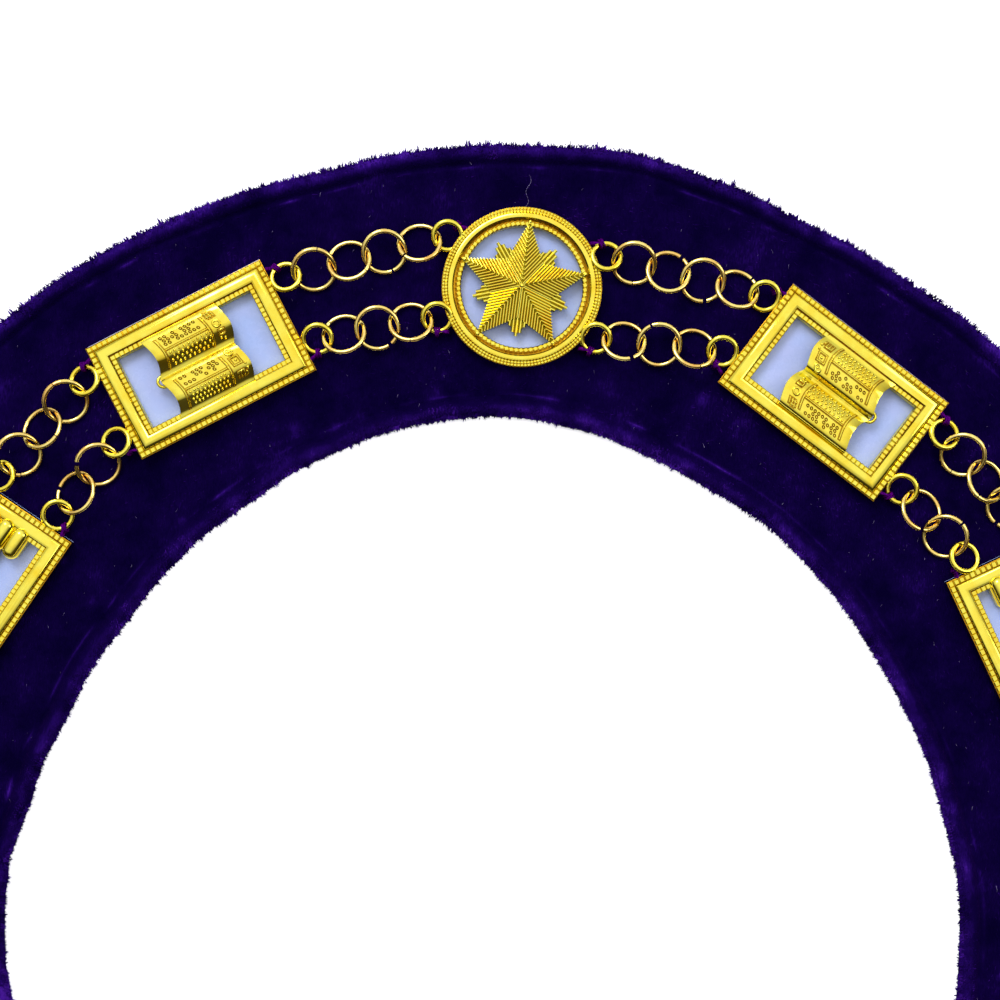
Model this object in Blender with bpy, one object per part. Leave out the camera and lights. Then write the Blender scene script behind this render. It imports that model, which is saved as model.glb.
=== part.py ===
"""Chain of office: a velvet collar that carries gilt plates joined by two runs of jump rings.

The collar lies flat with its underside on z = 0, the back of the neck towards +Y and the
pointed front towards -Y. The line that the chain follows is laid out by its heading, from the
middle of the back round the right side to the front point, and mirrored for the left side.
"""

import math

import bmesh
import bpy
from mathutils import Matrix, Vector

MM = 0.001

# The chain line: (radius, heading in degrees at which that bend ends), then straight to x = 0.
BENDS = ((152.7 * MM, 60.0), (172.0 * MM, 100.0), (105.0 * MM, 140.0))

# Velvet band
OUTER_HALF = 36.8 * MM  # from the chain line to the outer edge
INNER_HALF = 36.4 * MM  # from the chain line to the inner edge, at the sides
INNER_HALF_BACK = 32.6 * MM  # and behind the neck, where the band is narrower
NARROW_FOR = 110.0 * MM  # length over which it widens
FIELD_TOP = 3.4 * MM
ROLL_WIDTH = 5.0 * MM  # turned and stitched edge
ROLL_TOP = 4.7 * MM
GROOVE_TOP = 2.7 * MM
BAND_STEP = 7.5  # degrees of heading between two sections

# Plates
PITCH = 83.95 * MM  # between plates behind the neck
SHEET_Z = FIELD_TOP + 0.25 * MM
SHEET_THICK = 0.5 * MM
PLATE_Z = SHEET_Z + SHEET_THICK + 0.3 * MM
FRAME_LONG, FRAME_SHORT = 49.4 * MM, 31.3 * MM
DISC_RADIUS = 20.2 * MM
DISC_SIDES = 20
# Mouldings as (inset from the outer edge, height above the plate's back)
FRAME_PROFILE = (
    (0, 0), (0, 2.5), (1.4, 2.6), (1.7, 3.2), (2.5, 4.0),
    (3.3, 4.0), (4.1, 3.1), (4.5, 2.4), (5.9, 2.3), (5.9, 0),
)
DISC_PROFILE = ((0, 0), (0, 2.8), (1.9, 2.9), (2.2, 3.6), (3.2, 3.6), (3.6, 2.7), (4.9, 2.6), (4.9, 0))

# The thin sheet behind each plate isn't quite square with it and shows past one edge.
SHEET_SHIFT = {"disc": (0, 0), "book": (0, 0.9 * MM), "lobe": (-0.8 * MM, 0.1 * MM)}
# The plates are tied on by hand, so some are turned a little off the line, in degrees.
TURNS = {"back": -4.4, "right_1_book": -3.0, "left_1_book": -1.3, "right_2_lobe": 0.6, "left_2_lobe": -4.0}

# Soldered loops and jump rings, as
# (radius of the wire's centre line, wire diameter, sides round, sides of the wire)
LOOP = (3.575 * MM, 1.45 * MM, 10, 4)
LINK = (5.3 * MM, 1.25 * MM, 14, 4)
JOINED_LINK = (5.275 * MM, 1.25 * MM, 8, 4)
LOOP_Z = PLATE_Z + 2.1 * MM
LOOP_OUT = 3.85 * MM  # loop centre beyond the plate's edge, so that the wire sinks into its side
LOOP_ROLL = 18.0  # degrees
LINK_ROLL_END, LINK_ROLL_MID = 27.0, 18.0
JOINED_ROLLS = (17.0, 14.0)  # middle rings of a joined run, which meet their neighbours
FREE_COUNT = {"o": 4, "i": 3}  # rings of their own either side of the back medallion
LOOP_TO_JOINED, JOINED_PITCH = 6.8 * MM, 9.95 * MM  # the latter at most
TOWARDS_PLATE = 0.35  # share of the way that an end ring turns from its run to its plate


# ---------------------------------------------------------------- the chain line
def half_line():
    """Bends as (start length, start point, start heading, radius), ending with the straight run."""
    spans, point, heading, length = [], Vector((0.0, BENDS[0][0])), 0.0, 0.0
    for radius, end in BENDS:
        end = math.radians(end)
        spans.append((length, point.copy(), heading, radius))
        point += radius * Vector((math.sin(end) - math.sin(heading), math.cos(end) - math.cos(heading)))
        length += radius * (end - heading)
        heading = end
    spans.append((length, point.copy(), heading, None))
    return spans, length + point.x / -math.cos(heading)


SPANS, HALF_LENGTH = half_line()


def on_line(t):
    """Point and heading at the signed length t from the middle of the back, right side positive."""
    s = min(abs(t), HALF_LENGTH)
    length, point, heading, radius = [span for span in SPANS if span[0] <= s + 1e-12][-1]
    if radius is None:
        point = point + (s - length) * Vector((math.cos(heading), -math.sin(heading)))
    else:
        turned = heading + (s - length) / radius
        point = point + radius * Vector(
            (math.sin(turned) - math.sin(heading), math.cos(turned) - math.cos(heading))
        )
        heading = turned
    return (point, heading) if t >= 0 else (Vector((-point.x, point.y)), -heading)


def frame_at(t):
    """Matrix whose x runs along the chain line and whose y points away from the neck."""
    point, heading = on_line(t)
    if abs(t) > HALF_LENGTH - 1e-9:
        heading = math.pi
    matrix = Matrix.Rotation(-heading, 4, "Z")
    matrix.translation = (point.x, point.y, 0)
    return matrix


# The outer corner, where the two straight edges meet at x = 0, and the shift up Y that centres
# the collar on the origin.
TIP = on_line(HALF_LENGTH)[0].y - OUTER_HALF / -math.cos(SPANS[-1][2])
SHIFT_Y = -(BENDS[0][0] + OUTER_HALF + TIP) / 2


# ---------------------------------------------------------------- mesh helpers
def material(name, color, metallic, roughness):
    mat = bpy.data.materials.get(name)
    if mat is None:
        mat = bpy.data.materials.new(name)
        mat.use_nodes = True
        shader = mat.node_tree.nodes["Principled BSDF"]
        shader.inputs["Base Color"].default_value = (*color, 1)
        shader.inputs["Metallic"].default_value = metallic
        shader.inputs["Roughness"].default_value = roughness
    return mat


def finish(name, bm, mat, place=Matrix.Identity(4), smooth=35.0):
    """Turns the bmesh into a named object at its place on the collar."""
    bmesh.ops.recalc_face_normals(bm, faces=bm.faces)
    mesh = bpy.data.meshes.new(name)
    bm.to_mesh(mesh)
    bm.free()
    mesh.shade_smooth()
    mesh.set_sharp_from_angle(angle=math.radians(smooth))
    mesh.materials.append(mat)
    obj = bpy.data.objects.new(name, mesh)
    bpy.context.scene.collection.objects.link(obj)
    obj.matrix_world = Matrix.Translation((0, SHIFT_Y, 0)) @ place
    return obj


def sweep(bm, sections):
    """Skins a closed row of closed sections, each a list of the same number of points."""
    rows = [[bm.verts.new(p) for p in section] for section in sections]
    for a, b in zip(rows, rows[1:] + rows[:1]):
        for i in range(len(a)):
            j = (i + 1) % len(a)
            bm.faces.new((a[i], a[j], b[j], b[i]))


def ring(kind, place=Matrix.Identity(4)):
    """A wire ring in the xy plane of place, as a bmesh of its own."""
    bm = bmesh.new()
    radius, wire, around, sides = kind
    sections = []
    for k in range(around):
        a = 2 * math.pi * k / around
        out = Vector((math.cos(a), math.sin(a), 0))
        sections.append([
            place @ (out * (radius + wire / 2 * math.cos(b)) + Vector((0, 0, wire / 2 * math.sin(b))))
            for b in (2 * math.pi * m / sides for m in range(sides))
        ])
    sweep(bm, sections)
    return bm


def box(bm, place, size):
    made = bmesh.ops.create_cube(bm, size=1, matrix=place @ Matrix.Diagonal((*size, 1)))
    return made["verts"]


def prism(bm, outline, low, high):
    """Closed solid between two outlines of (x, y), whose heights are numbers or lists of numbers."""
    count = len(outline)
    low = [low] * count if isinstance(low, float) else low
    high = [high] * count if isinstance(high, float) else high
    bottom = [bm.verts.new((x, y, z)) for (x, y), z in zip(outline, low)]
    top = [bm.verts.new((x, y, z)) for (x, y), z in zip(outline, high)]
    for i in range(count):
        j = (i + 1) % count
        bm.faces.new((bottom[i], bottom[j], top[j], top[i]))
    return bottom, top


def union(base, others):
    """Joins closed solids into one with exact Booleans and returns the merged bmesh."""
    def as_object(bm, name):
        mesh = bpy.data.meshes.new(name)
        bmesh.ops.recalc_face_normals(bm, faces=bm.faces)
        bm.to_mesh(mesh)
        bm.free()
        obj = bpy.data.objects.new(name, mesh)
        bpy.context.scene.collection.objects.link(obj)
        return obj

    body = as_object(base, "joined_body")
    tools = [as_object(bm, "joined_tool") for bm in others]
    for tool in tools:
        step = body.modifiers.new("join", "BOOLEAN")
        step.operation, step.solver, step.object = "UNION", "EXACT", tool
    evaluated = body.evaluated_get(bpy.context.evaluated_depsgraph_get())
    merged = bmesh.new()
    merged.from_mesh(evaluated.to_mesh())
    evaluated.to_mesh_clear()
    for obj in [body, *tools]:
        bpy.data.objects.remove(obj)
    bmesh.ops.remove_doubles(merged, verts=merged.verts, dist=0.01 * MM)
    bmesh.ops.dissolve_limit(merged, angle_limit=math.radians(1.5), verts=merged.verts, edges=merged.edges)
    return merged


# ---------------------------------------------------------------- velvet band
def band_section(t):
    """One cross-section, from the inner roll over the top to the outer roll and back underneath."""
    s = abs(t)
    rise = min(1.0, s / NARROW_FOR)
    inner = INNER_HALF_BACK + (INNER_HALF - INNER_HALF_BACK) * rise * rise * (3 - 2 * rise)
    r = ROLL_WIDTH
    roll = [(0.0, 2.1 * MM), (0.14 * r, 3.9 * MM), (0.48 * r, ROLL_TOP), (0.82 * r, 3.9 * MM)]
    roll.append((r, GROOVE_TOP))
    top = [(-inner + a, z) for a, z in roll] + [(-inner + 1.5 * r, FIELD_TOP)]
    top += [(OUTER_HALF - 1.5 * r, FIELD_TOP)] + [(OUTER_HALF - a, z) for a, z in reversed(roll)]
    under = [(OUTER_HALF - 0.16 * r, 0.5 * MM), (OUTER_HALF - 0.5 * r, 0.0)]
    under += [(-inner + 0.5 * r, 0.0), (-inner + 0.16 * r, 0.5 * MM)]
    point, heading = on_line(t)
    out = Vector((math.sin(heading), math.cos(heading)))
    along = Vector((math.cos(heading), -math.sin(heading)))
    # On the straight front run the sections turn little by little into the mitre at x = 0.
    start = SPANS[-1][0]
    share = max(0.0, (s - start) / (HALF_LENGTH - start)) * math.copysign(1, t)
    lean = share * out.x / -along.x if share else 0.0
    return [(*(point + u * out + u * lean * math.copysign(1, t) * along), z) for u, z in top + under]


def velvet_band():
    stops = []
    for (start, _, heading, radius), (end, _, _, _) in zip(SPANS, SPANS[1:]):
        count = max(1, round(math.degrees((end - start) / radius) / BAND_STEP))
        stops += [start + (end - start) * k / count for k in range(count)]
    start = SPANS[-1][0]
    stops += [start + (HALF_LENGTH - start) * k / 6 for k in range(6)]
    bm = bmesh.new()
    sweep(bm, [band_section(t) for t in stops + [HALF_LENGTH] + [-s for s in reversed(stops[1:])]])
    return finish("velvet_band", bm, VELVET, smooth=60)


# ---------------------------------------------------------------- plates
def moulded_frame():
    """Rectangular frame, its moulding mitred at the four corners."""
    bm, sections = bmesh.new(), []
    for sx, sy in ((1, 1), (-1, 1), (-1, -1), (1, -1)):
        section = []
        for inset, z in FRAME_PROFILE:
            x, y = FRAME_LONG / 2 - inset * MM, FRAME_SHORT / 2 - inset * MM
            section.append(Vector((sx * x, sy * y, PLATE_Z + z * MM)))
        sections.append(section)
    sweep(bm, sections)
    return bm


def moulded_disc():
    """Round frame, the same mouldings turned round its axis."""
    bm, sections = bmesh.new(), []
    for k in range(DISC_SIDES):
        a = 2 * math.pi * (k + 0.5) / DISC_SIDES
        section = []
        for inset, z in DISC_PROFILE:
            r = DISC_RADIUS - inset * MM
            section.append(Vector((r * math.cos(a), r * math.sin(a), PLATE_Z + z * MM)))
        sections.append(section)
    sweep(bm, sections)
    return bm


def star(tip, valley, edge_z, centre_z, turn):
    """Raised star of five points, a ridge from the centre to each tip, with a flat back."""
    bm = bmesh.new()
    outline = []
    for k in range(10):
        a = math.radians(90 + turn + 36 * k)
        r = (valley if k % 2 else tip) * MM
        outline.append((r * math.cos(a), r * math.sin(a)))
    bottom, top = prism(bm, outline, PLATE_Z + 0.6 * MM, PLATE_Z + edge_z * MM)
    bm.faces.new(bottom)
    centre = bm.verts.new((0, 0, PLATE_Z + centre_z * MM))
    for i in range(10):
        bm.faces.new((top[i], top[(i + 1) % 10], centre))
    return bm


def two_fold_relief(turned):
    """Two arched folds across the window, a crease between them, bulging towards the back of the neck."""
    bm, rows = bmesh.new(), 13
    side = 1 if turned else -1
    left, right = [], []
    for k in range(rows):
        y = side * (-10.8 + 21.6 * k / (rows - 1)) * MM
        within = abs(math.sin(math.pi * k / (rows - 1) * 2)) ** 0.6
        z = PLATE_Z + (2.6 + 2.4 * within) * MM
        shift = side * (2.0 * within - 1.1) * MM
        left.append(Vector((shift - 10.4 * MM, y, z)))
        right.append(Vector((shift + 10.4 * MM, y, z)))
    low = PLATE_Z + 0.5 * MM
    tl, tr = [bm.verts.new(p) for p in left], [bm.verts.new(p) for p in right]
    bl = [bm.verts.new((p.x, p.y, low)) for p in left]
    br = [bm.verts.new((p.x, p.y, low)) for p in right]
    for i in range(rows - 1):
        bm.faces.new((tl[i], tr[i], tr[i + 1], tl[i + 1]))
        bm.faces.new((bl[i], br[i], br[i + 1], bl[i + 1]))
        bm.faces.new((tl[i], tl[i + 1], bl[i + 1], bl[i]))
        bm.faces.new((tr[i], tr[i + 1], br[i + 1], br[i]))
    for i in (0, -1):
        bm.faces.new((tl[i], tr[i], br[i], bl[i]))
    return bm


def capsule(cx, cy, half_long, half_wide, low, high, crown):
    """Oblong lobe along x with round ends and a bevelled crown."""
    bm, outline, inner = bmesh.new(), [], []
    for k in range(8):
        a = 2 * math.pi * (k + 0.5) / 8
        ex = math.copysign(half_long - half_wide, math.cos(a))
        outline.append((cx + (ex + half_wide * math.cos(a)), cy + half_wide * math.sin(a)))
        inner.append((cx + (ex + crown * half_wide * math.cos(a)), cy + crown * half_wide * math.sin(a)))
    bottom, top = prism(bm, outline, low, (low + 2 * high) / 3)
    bm.faces.new(bottom)
    crown_ring = [bm.verts.new((x, y, high)) for x, y in inner]
    for i in range(8):
        j = (i + 1) % 8
        bm.faces.new((top[i], top[j], crown_ring[j], crown_ring[i]))
    bm.faces.new(crown_ring)
    return bm


def lobed_relief():
    """Three polished lobes lapping over each short side, tied by a plain bar along the window."""
    solids = []
    for end in (-1, 1):
        for row in (-1, 0, 1):
            solids.append(capsule(
                end * 16.9 * MM, row * 4.15 * MM, 4.25 * MM, 2.15 * MM,
                PLATE_Z + 0.6 * MM, PLATE_Z + (5.0 - 0.2 * abs(row)) * MM, 0.55))
    bar = bmesh.new()
    box(bar, Matrix.Translation((0, 0, PLATE_Z + 1.5 * MM)), (27.0 * MM, 3.4 * MM, 1.6 * MM))
    return solids + [bar]


def loop(x, y, angle, roll):
    """Soldered loop, rolled about the direction in which its run pulls."""
    place = Matrix.Translation((x, y, LOOP_Z)) @ Matrix.Rotation(angle, 4, "Z")
    return ring(LOOP, place @ Matrix.Rotation(math.radians(roll), 4, "X"))


class Plate:
    """One station on the chain line: its matrix, and the places and pulls of its loops."""

    def __init__(self, name, kind, t, loops):
        self.name, self.kind, self.t = name, kind, t
        self.place = frame_at(t) @ Matrix.Rotation(math.radians(TURNS.get(name, 0)), 4, "Z")
        self.loops = loops  # arriving or leaving run, outer or inner -> (x, y)
        self.pulls = {key: (0.0, 0.0) for key in loops}  # direction in the plate's plane, and roll

    def loop_centre(self, key):
        return self.place @ Vector((*self.loops[key], LOOP_Z))

    def pull(self, key, along, roll):
        local = self.place.to_3x3().inverted() @ along
        self.pulls[key] = (math.atan2(local.y, local.x), roll)

    def build(self):
        if self.kind == "disc":
            base = moulded_disc()
            solids = [star(16.5, 9.2, 3.0, 5.2, 0), star(12.8, 7.0, 2.3, 2.9, 36)]
        elif self.kind == "book":
            base, solids = moulded_frame(), [two_fold_relief(self.t < 0)]
        else:
            base, solids = moulded_frame(), lobed_relief()
        solids += [loop(x, y, *self.pulls[key]) for key, (x, y) in self.loops.items()]
        finish("plate_" + self.name, union(base, solids), GOLD, self.place)

    def backing(self):
        bm = bmesh.new()
        shift = SHEET_SHIFT[self.kind]
        if self.kind == "disc":
            middle = Matrix.Translation((0, 0, SHEET_Z + SHEET_THICK / 2))
            bmesh.ops.create_cone(
                bm, cap_ends=True, segments=DISC_SIDES, radius1=19.6 * MM, radius2=19.6 * MM,
                depth=SHEET_THICK, matrix=middle)
        else:
            if self.t < 0:
                shift = (-shift[0], shift[1])
            box(bm, Matrix.Translation((shift[0], shift[1], SHEET_Z + SHEET_THICK / 2)),
                (FRAME_LONG - 0.5 * MM, FRAME_SHORT - 0.5 * MM, SHEET_THICK))
        finish("backing_" + self.name, bm, SHEET, self.place)


def side_loops():
    x, y = FRAME_LONG / 2 + LOOP_OUT, 8.75 * MM
    return {"out_o": (x, y), "out_i": (x, -y), "in_o": (-x, y), "in_i": (-x, -y)}


def round_loops(angles):
    """Loops round a disc, from {key: direction in degrees}."""
    reach = DISC_RADIUS + 2.5 * MM
    turned = {key: math.radians(degrees) for key, degrees in angles.items()}
    return {key: (reach * math.cos(a), reach * math.sin(a)) for key, a in turned.items()}


# ---------------------------------------------------------------- jump rings
def run_between(a, b, row, joined):
    """Places of the jump rings of one run, as (centre, direction in the plane), and the loops' centres."""
    start, end = a.loop_centre("out_" + row), b.loop_centre("in_" + row)
    span = end - start
    if joined:
        reach = LOOP_TO_JOINED
        count = math.ceil((span.length - 2 * reach) / JOINED_PITCH) + 1
    else:  # what slack there is, is shared between all the places where two rings meet
        count = FREE_COUNT[row]
        in_loop, in_link = (radius - wire / 2 for radius, wire, _, _ in (LOOP, LINK))
        slack = (2 * in_loop + 2 * count * in_link - span.length) / (count + 1)
        reach = in_loop + in_link - slack
    inner = (span.length - 2 * reach) / (count - 1)
    along = span.normalized()
    headings = [math.atan2(along.y, along.x)] * count
    for plate, k in ((a, 0), (b, -1)):  # the end rings turn a little towards their plate
        if plate.name != "front_disc":
            turned = along.lerp(plate.place.col[0].to_3d(), TOWARDS_PLATE)
            headings[k] = math.atan2(turned.y, turned.x)
    return [(start + along * (reach + inner * k), headings[k]) for k in range(count)]


def link_rolls(count, first, joined):
    """Rolls of a run's rings. Free rings roll against their neighbours and pass through them."""
    rolls = []
    for k in range(count):
        if k in (0, count - 1):
            roll = LINK_ROLL_END
        else:
            roll = JOINED_ROLLS[k % 2] if joined else LINK_ROLL_MID
        rolls.append(first * roll if joined else first * roll * (-1) ** k)
    return rolls


def linked_rings(name, places, rolls, joined):
    """The rings of a run as nodes of their own, or joined into one solid where they cross."""
    stands = []
    for (centre, heading), roll in zip(places, rolls):
        turned = Matrix.Rotation(heading, 4, "Z") @ Matrix.Rotation(math.radians(roll), 4, "X")
        stands.append(Matrix.Translation(centre) @ turned)
    if joined:
        first, *others = (ring(JOINED_LINK, stands[0].inverted() @ stand) for stand in stands)
        finish(name, union(first, others), LINK_GOLD, stands[0], 60)
    else:
        for k, stand in enumerate(stands, start=1):
            finish(f"{name}_{k}", ring(LINK), LINK_GOLD, stand, 60)


# ---------------------------------------------------------------- the whole collar
for old in list(bpy.data.objects):
    bpy.data.objects.remove(old)

VELVET = material("velvet", (0.03, 0.01, 0.14), 0.0, 0.9)
GOLD = material("gilt_metal", (0.83, 0.62, 0.12), 1.0, 0.25)
LINK_GOLD = material("gilt_links", (0.88, 0.7, 0.2), 1.0, 0.28)
SHEET = material("lilac_sheet", (0.42, 0.44, 0.82), 0.0, 0.3)

HIDDEN_PITCH = (HALF_LENGTH - 2 * PITCH) / 4
STATIONS = [("back", "disc", 0.0)]
for side, sign in (("right", 1), ("left", -1)):
    for number, kind in enumerate(("book", "lobe", "disc", "book", "lobe"), start=1):
        t = number * PITCH if number <= 2 else 2 * PITCH + (number - 2) * HIDDEN_PITCH
        STATIONS.append((f"{side}_{number}_{kind}", kind, sign * t))
STATIONS.sort(key=lambda station: station[2])

FLAT_LOOPS = {"out_o": 27.2, "out_i": -27.2, "in_o": 152.8, "in_i": 207.2}
lean = math.degrees(SPANS[-1][2]) - 180  # slope of the straight front runs at the point
FRONT_LOOPS = {
    "in_o": 180 - lean - 27.2,
    "in_i": 180 - lean + 27.2,
    "out_o": lean + 27.2,
    "out_i": lean - 27.2,
    "badge": 90.0,
}
plates = [
    Plate(name, kind, t, round_loops(FLAT_LOOPS) if kind == "disc" else side_loops())
    for name, kind, t in STATIONS
]
front = Plate("front_disc", "disc", HALF_LENGTH, round_loops(FRONT_LOOPS))

velvet_band()
runs = []
for a, b in zip([front] + plates, plates + [front]):
    for row in "oi":
        joined = "back" not in (a.name, b.name)
        places = run_between(a, b, row, joined)
        first = 1 if row == "o" else -1
        label = "outer" if row == "o" else "inner"
        rolls = link_rolls(len(places), first, joined)
        along = places[-1][0] - places[0][0]
        a.pull("out_" + row, along, -first * LOOP_ROLL)
        b.pull("in_" + row, along, -math.copysign(LOOP_ROLL, rolls[-1]))
        name = f"{'run' if joined else 'ring'}_{a.name}_to_{b.name}_{label}"
        runs.append((name, places, rolls, joined))
for plate in plates + [front]:
    plate.build()
    plate.backing()
for name, places, rolls, joined in runs:
    linked_rings(name, places, rolls, joined)
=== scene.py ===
# %% [markdown]
# # A chain of office on its velvet collar
# The collar is a loop of padded velvet that lies on the shoulders. Twelve gilt plates are tied to it
# and joined by two rows of jump rings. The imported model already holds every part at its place, so it
# is loaded first and nothing in it is moved. Each part then gets a finely made piece in its stead.

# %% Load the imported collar
import math
import random

import bmesh
import bpy
from mathutils import Matrix, Vector, noise


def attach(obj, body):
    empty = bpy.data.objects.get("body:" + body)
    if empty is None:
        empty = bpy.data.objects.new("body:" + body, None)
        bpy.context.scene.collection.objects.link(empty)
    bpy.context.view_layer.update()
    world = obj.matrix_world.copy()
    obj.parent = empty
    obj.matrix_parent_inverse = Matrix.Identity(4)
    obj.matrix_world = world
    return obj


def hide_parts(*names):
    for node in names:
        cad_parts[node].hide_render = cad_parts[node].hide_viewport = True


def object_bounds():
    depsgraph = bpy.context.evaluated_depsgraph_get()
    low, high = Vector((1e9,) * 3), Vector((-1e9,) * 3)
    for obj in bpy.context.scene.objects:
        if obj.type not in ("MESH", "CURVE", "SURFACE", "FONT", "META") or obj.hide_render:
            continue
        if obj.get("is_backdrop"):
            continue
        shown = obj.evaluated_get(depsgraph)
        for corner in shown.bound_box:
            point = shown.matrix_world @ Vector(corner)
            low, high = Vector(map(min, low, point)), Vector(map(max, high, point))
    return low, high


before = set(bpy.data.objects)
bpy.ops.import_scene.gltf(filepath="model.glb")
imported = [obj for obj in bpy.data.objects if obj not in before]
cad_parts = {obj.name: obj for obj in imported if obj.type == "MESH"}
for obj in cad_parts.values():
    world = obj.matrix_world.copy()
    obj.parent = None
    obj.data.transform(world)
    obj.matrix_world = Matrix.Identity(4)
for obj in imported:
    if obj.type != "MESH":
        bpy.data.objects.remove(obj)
cad_low, cad_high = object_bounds()
MM = 0.001
chance = random.Random(7)
print("nodes", len(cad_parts), "box in mm", [round((b - a) / MM, 1) for a, b in zip(cad_low, cad_high)])

# %% [markdown]
# ## The chain line
# Plates and rings follow one line round the neck: three bends of different radius on each side, and
# a straight run to the point at the front. Knowing the heading at every length is enough to place a
# piece, to turn it along the line and to mirror it to the other side.

# %% Bends, stations and places
BENDS = ((152.7 * MM, 60.0), (172.0 * MM, 100.0), (105.0 * MM, 140.0))
PITCH = 83.95 * MM
OUTER_HALF, INNER_HALF, INNER_HALF_BACK = 36.8 * MM, 36.4 * MM, 32.6 * MM


def half_line():
    """Bends as (start length, start point, start heading, radius), and the length of half the line."""
    spans, point, heading, length = [], Vector((0.0, BENDS[0][0])), 0.0, 0.0
    for radius, end in BENDS:
        end = math.radians(end)
        spans.append((length, point.copy(), heading, radius))
        point += radius * Vector((math.sin(end) - math.sin(heading), math.cos(end) - math.cos(heading)))
        length += radius * (end - heading)
        heading = end
    spans.append((length, point.copy(), heading, None))
    return spans, length + point.x / -math.cos(heading)


SPANS, HALF_LENGTH = half_line()


def on_line(t):
    """Point and heading at the signed length t from the middle of the back, right side positive."""
    s = min(abs(t), HALF_LENGTH)
    length, point, heading, radius = [span for span in SPANS if span[0] <= s + 1e-12][-1]
    if radius is None:
        point = point + (s - length) * Vector((math.cos(heading), -math.sin(heading)))
    else:
        turned = heading + (s - length) / radius
        point = point + radius * Vector(
            (math.sin(turned) - math.sin(heading), math.cos(turned) - math.cos(heading))
        )
        heading = turned
    return (point, heading) if t >= 0 else (Vector((-point.x, point.y)), -heading)


SHIFT_Y = cad_high.y - BENDS[0][0] - OUTER_HALF
# The plates are tied on by hand, so some are turned a little off the line, in degrees.
TURNS = {"back": -4.4, "right_1_book": -3.0, "left_1_book": -1.3, "right_2_lobe": 0.6, "left_2_lobe": -4.0}


def place_at(t, turn=0.0):
    """Matrix whose x runs along the chain line and whose y points away from the neck."""
    point, heading = on_line(t)
    heading = math.pi if abs(t) > HALF_LENGTH - 1e-9 else heading
    matrix = Matrix.Rotation(math.radians(turn) - heading, 4, "Z")
    matrix.translation = (point.x, point.y + SHIFT_Y, 0)
    return matrix


HIDDEN_PITCH = (HALF_LENGTH - 2 * PITCH) / 4
STATIONS = [("back", "disc", 0.0)]
for side, sign in (("right", 1), ("left", -1)):
    for number, kind in enumerate(("book", "lobe", "disc", "book", "lobe"), start=1):
        t = number * PITCH if number <= 2 else 2 * PITCH + (number - 2) * HIDDEN_PITCH
        STATIONS.append((f"{side}_{number}_{kind}", kind, sign * t))
STATIONS.sort(key=lambda station: station[2])
STATIONS.append(("front_disc", "disc", HALF_LENGTH))
PLACES = {name: place_at(t, TURNS.get(name, 0)) for name, _, t in STATIONS}
print("half line", round(HALF_LENGTH / MM, 1), "mm with", len(STATIONS), "stations")

# %% [markdown]
# ## Camera, floor and light
# The collar lies on a pale table and is seen from straight above, a little turned, close to its
# upper half. Polished gold shows whatever is round it, so the light is a broad bright ceiling that
# fades towards the walls: tops shine and steep sides turn to dark amber.

# %% Camera over the upper half
FIELD_TOP = 3.4 * MM
TURN = math.radians(3.0)
VIEW_WIDTH, VIEW_HEIGHT = 254 * MM, 400 * MM
right, up = Vector((math.cos(TURN), math.sin(TURN), 0)), Vector((-math.sin(TURN), math.cos(TURN), 0))
target = Vector((0, SHIFT_Y, FIELD_TOP)) + 2.5 * MM * right + 98.8 * MM * up
bpy.ops.object.camera_add(location=target + Vector((0, 0, VIEW_HEIGHT)), rotation=(0, 0, TURN))
camera = bpy.context.object
camera.data.sensor_width = 36
camera.data.lens = 36 * VIEW_HEIGHT / VIEW_WIDTH
camera.data.clip_start, camera.data.clip_end = 0.01, 20
bpy.context.scene.camera = camera
print("lens", round(camera.data.lens, 1), "mm")

# %% Small helpers for nodes
def new_material(name):
    """A material with its Principled shader, and the functions to add and join nodes."""
    mat = bpy.data.materials.new(name)
    mat.use_nodes = True
    tree = mat.node_tree
    return mat, tree, tree.nodes["Principled BSDF"]


def add_node(tree, kind, **settings):
    node = tree.nodes.new("ShaderNode" + kind)
    for key, value in settings.items():
        if key in node.inputs:
            node.inputs[key].default_value = value
        else:
            setattr(node, key, value)
    return node


def ramp(tree, source, *stops):
    """Colour ramp fed by source, with (position, colour) stops."""
    node = add_node(tree, "ValToRGB")
    while len(node.color_ramp.elements) < len(stops):
        node.color_ramp.elements.new(0.5)
    for element, (position, color) in zip(node.color_ramp.elements, stops):
        element.position, element.color = position, (*color, 1)
    tree.links.new(source, node.inputs["Fac"])
    return node.outputs["Color"]


# %% Floor and light
bpy.ops.mesh.primitive_plane_add(size=4, location=(0, 0, -0.0002))
floor = bpy.context.object
floor.name = "floor"
mat, tree, shader = new_material("pale_floor")
mottle = add_node(tree, "TexNoise", Scale=3.0, Detail=2.0)
coords = add_node(tree, "TexCoord")
tree.links.new(coords.outputs["Object"], mottle.inputs["Vector"])
tree.links.new(ramp(tree, mottle.outputs["Fac"], (0.3, (0.93, 0.93, 0.935)), (0.7, (0.96, 0.96, 0.96))), shader.inputs["Base Color"])
shader.inputs["Roughness"].default_value = 0.8
shader.inputs["Emission Color"].default_value = (1, 1, 1, 1)
shader.inputs["Emission Strength"].default_value = 0.72
floor.data.materials.append(mat)
floor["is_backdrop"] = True

world = bpy.data.worlds.new("studio")
bpy.context.scene.world = world
world.use_nodes = True
tree = world.node_tree
coords = add_node(tree, "TexCoord")
facing = add_node(tree, "VectorMath", operation="DOT_PRODUCT")
facing.inputs[1].default_value = (-0.10, 0.50, 0.85)
tree.links.new(coords.outputs["Generated"], facing.inputs[0])
sky = ramp(
    tree, facing.outputs["Value"],
    (0.0, (0.035, 0.03, 0.025)), (0.30, (0.07, 0.06, 0.05)), (0.52, (0.55, 0.54, 0.52)), (0.80, (1.0, 1.0, 1.0)),
)
tree.links.new(sky, tree.nodes["Background"].inputs["Color"])
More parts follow.
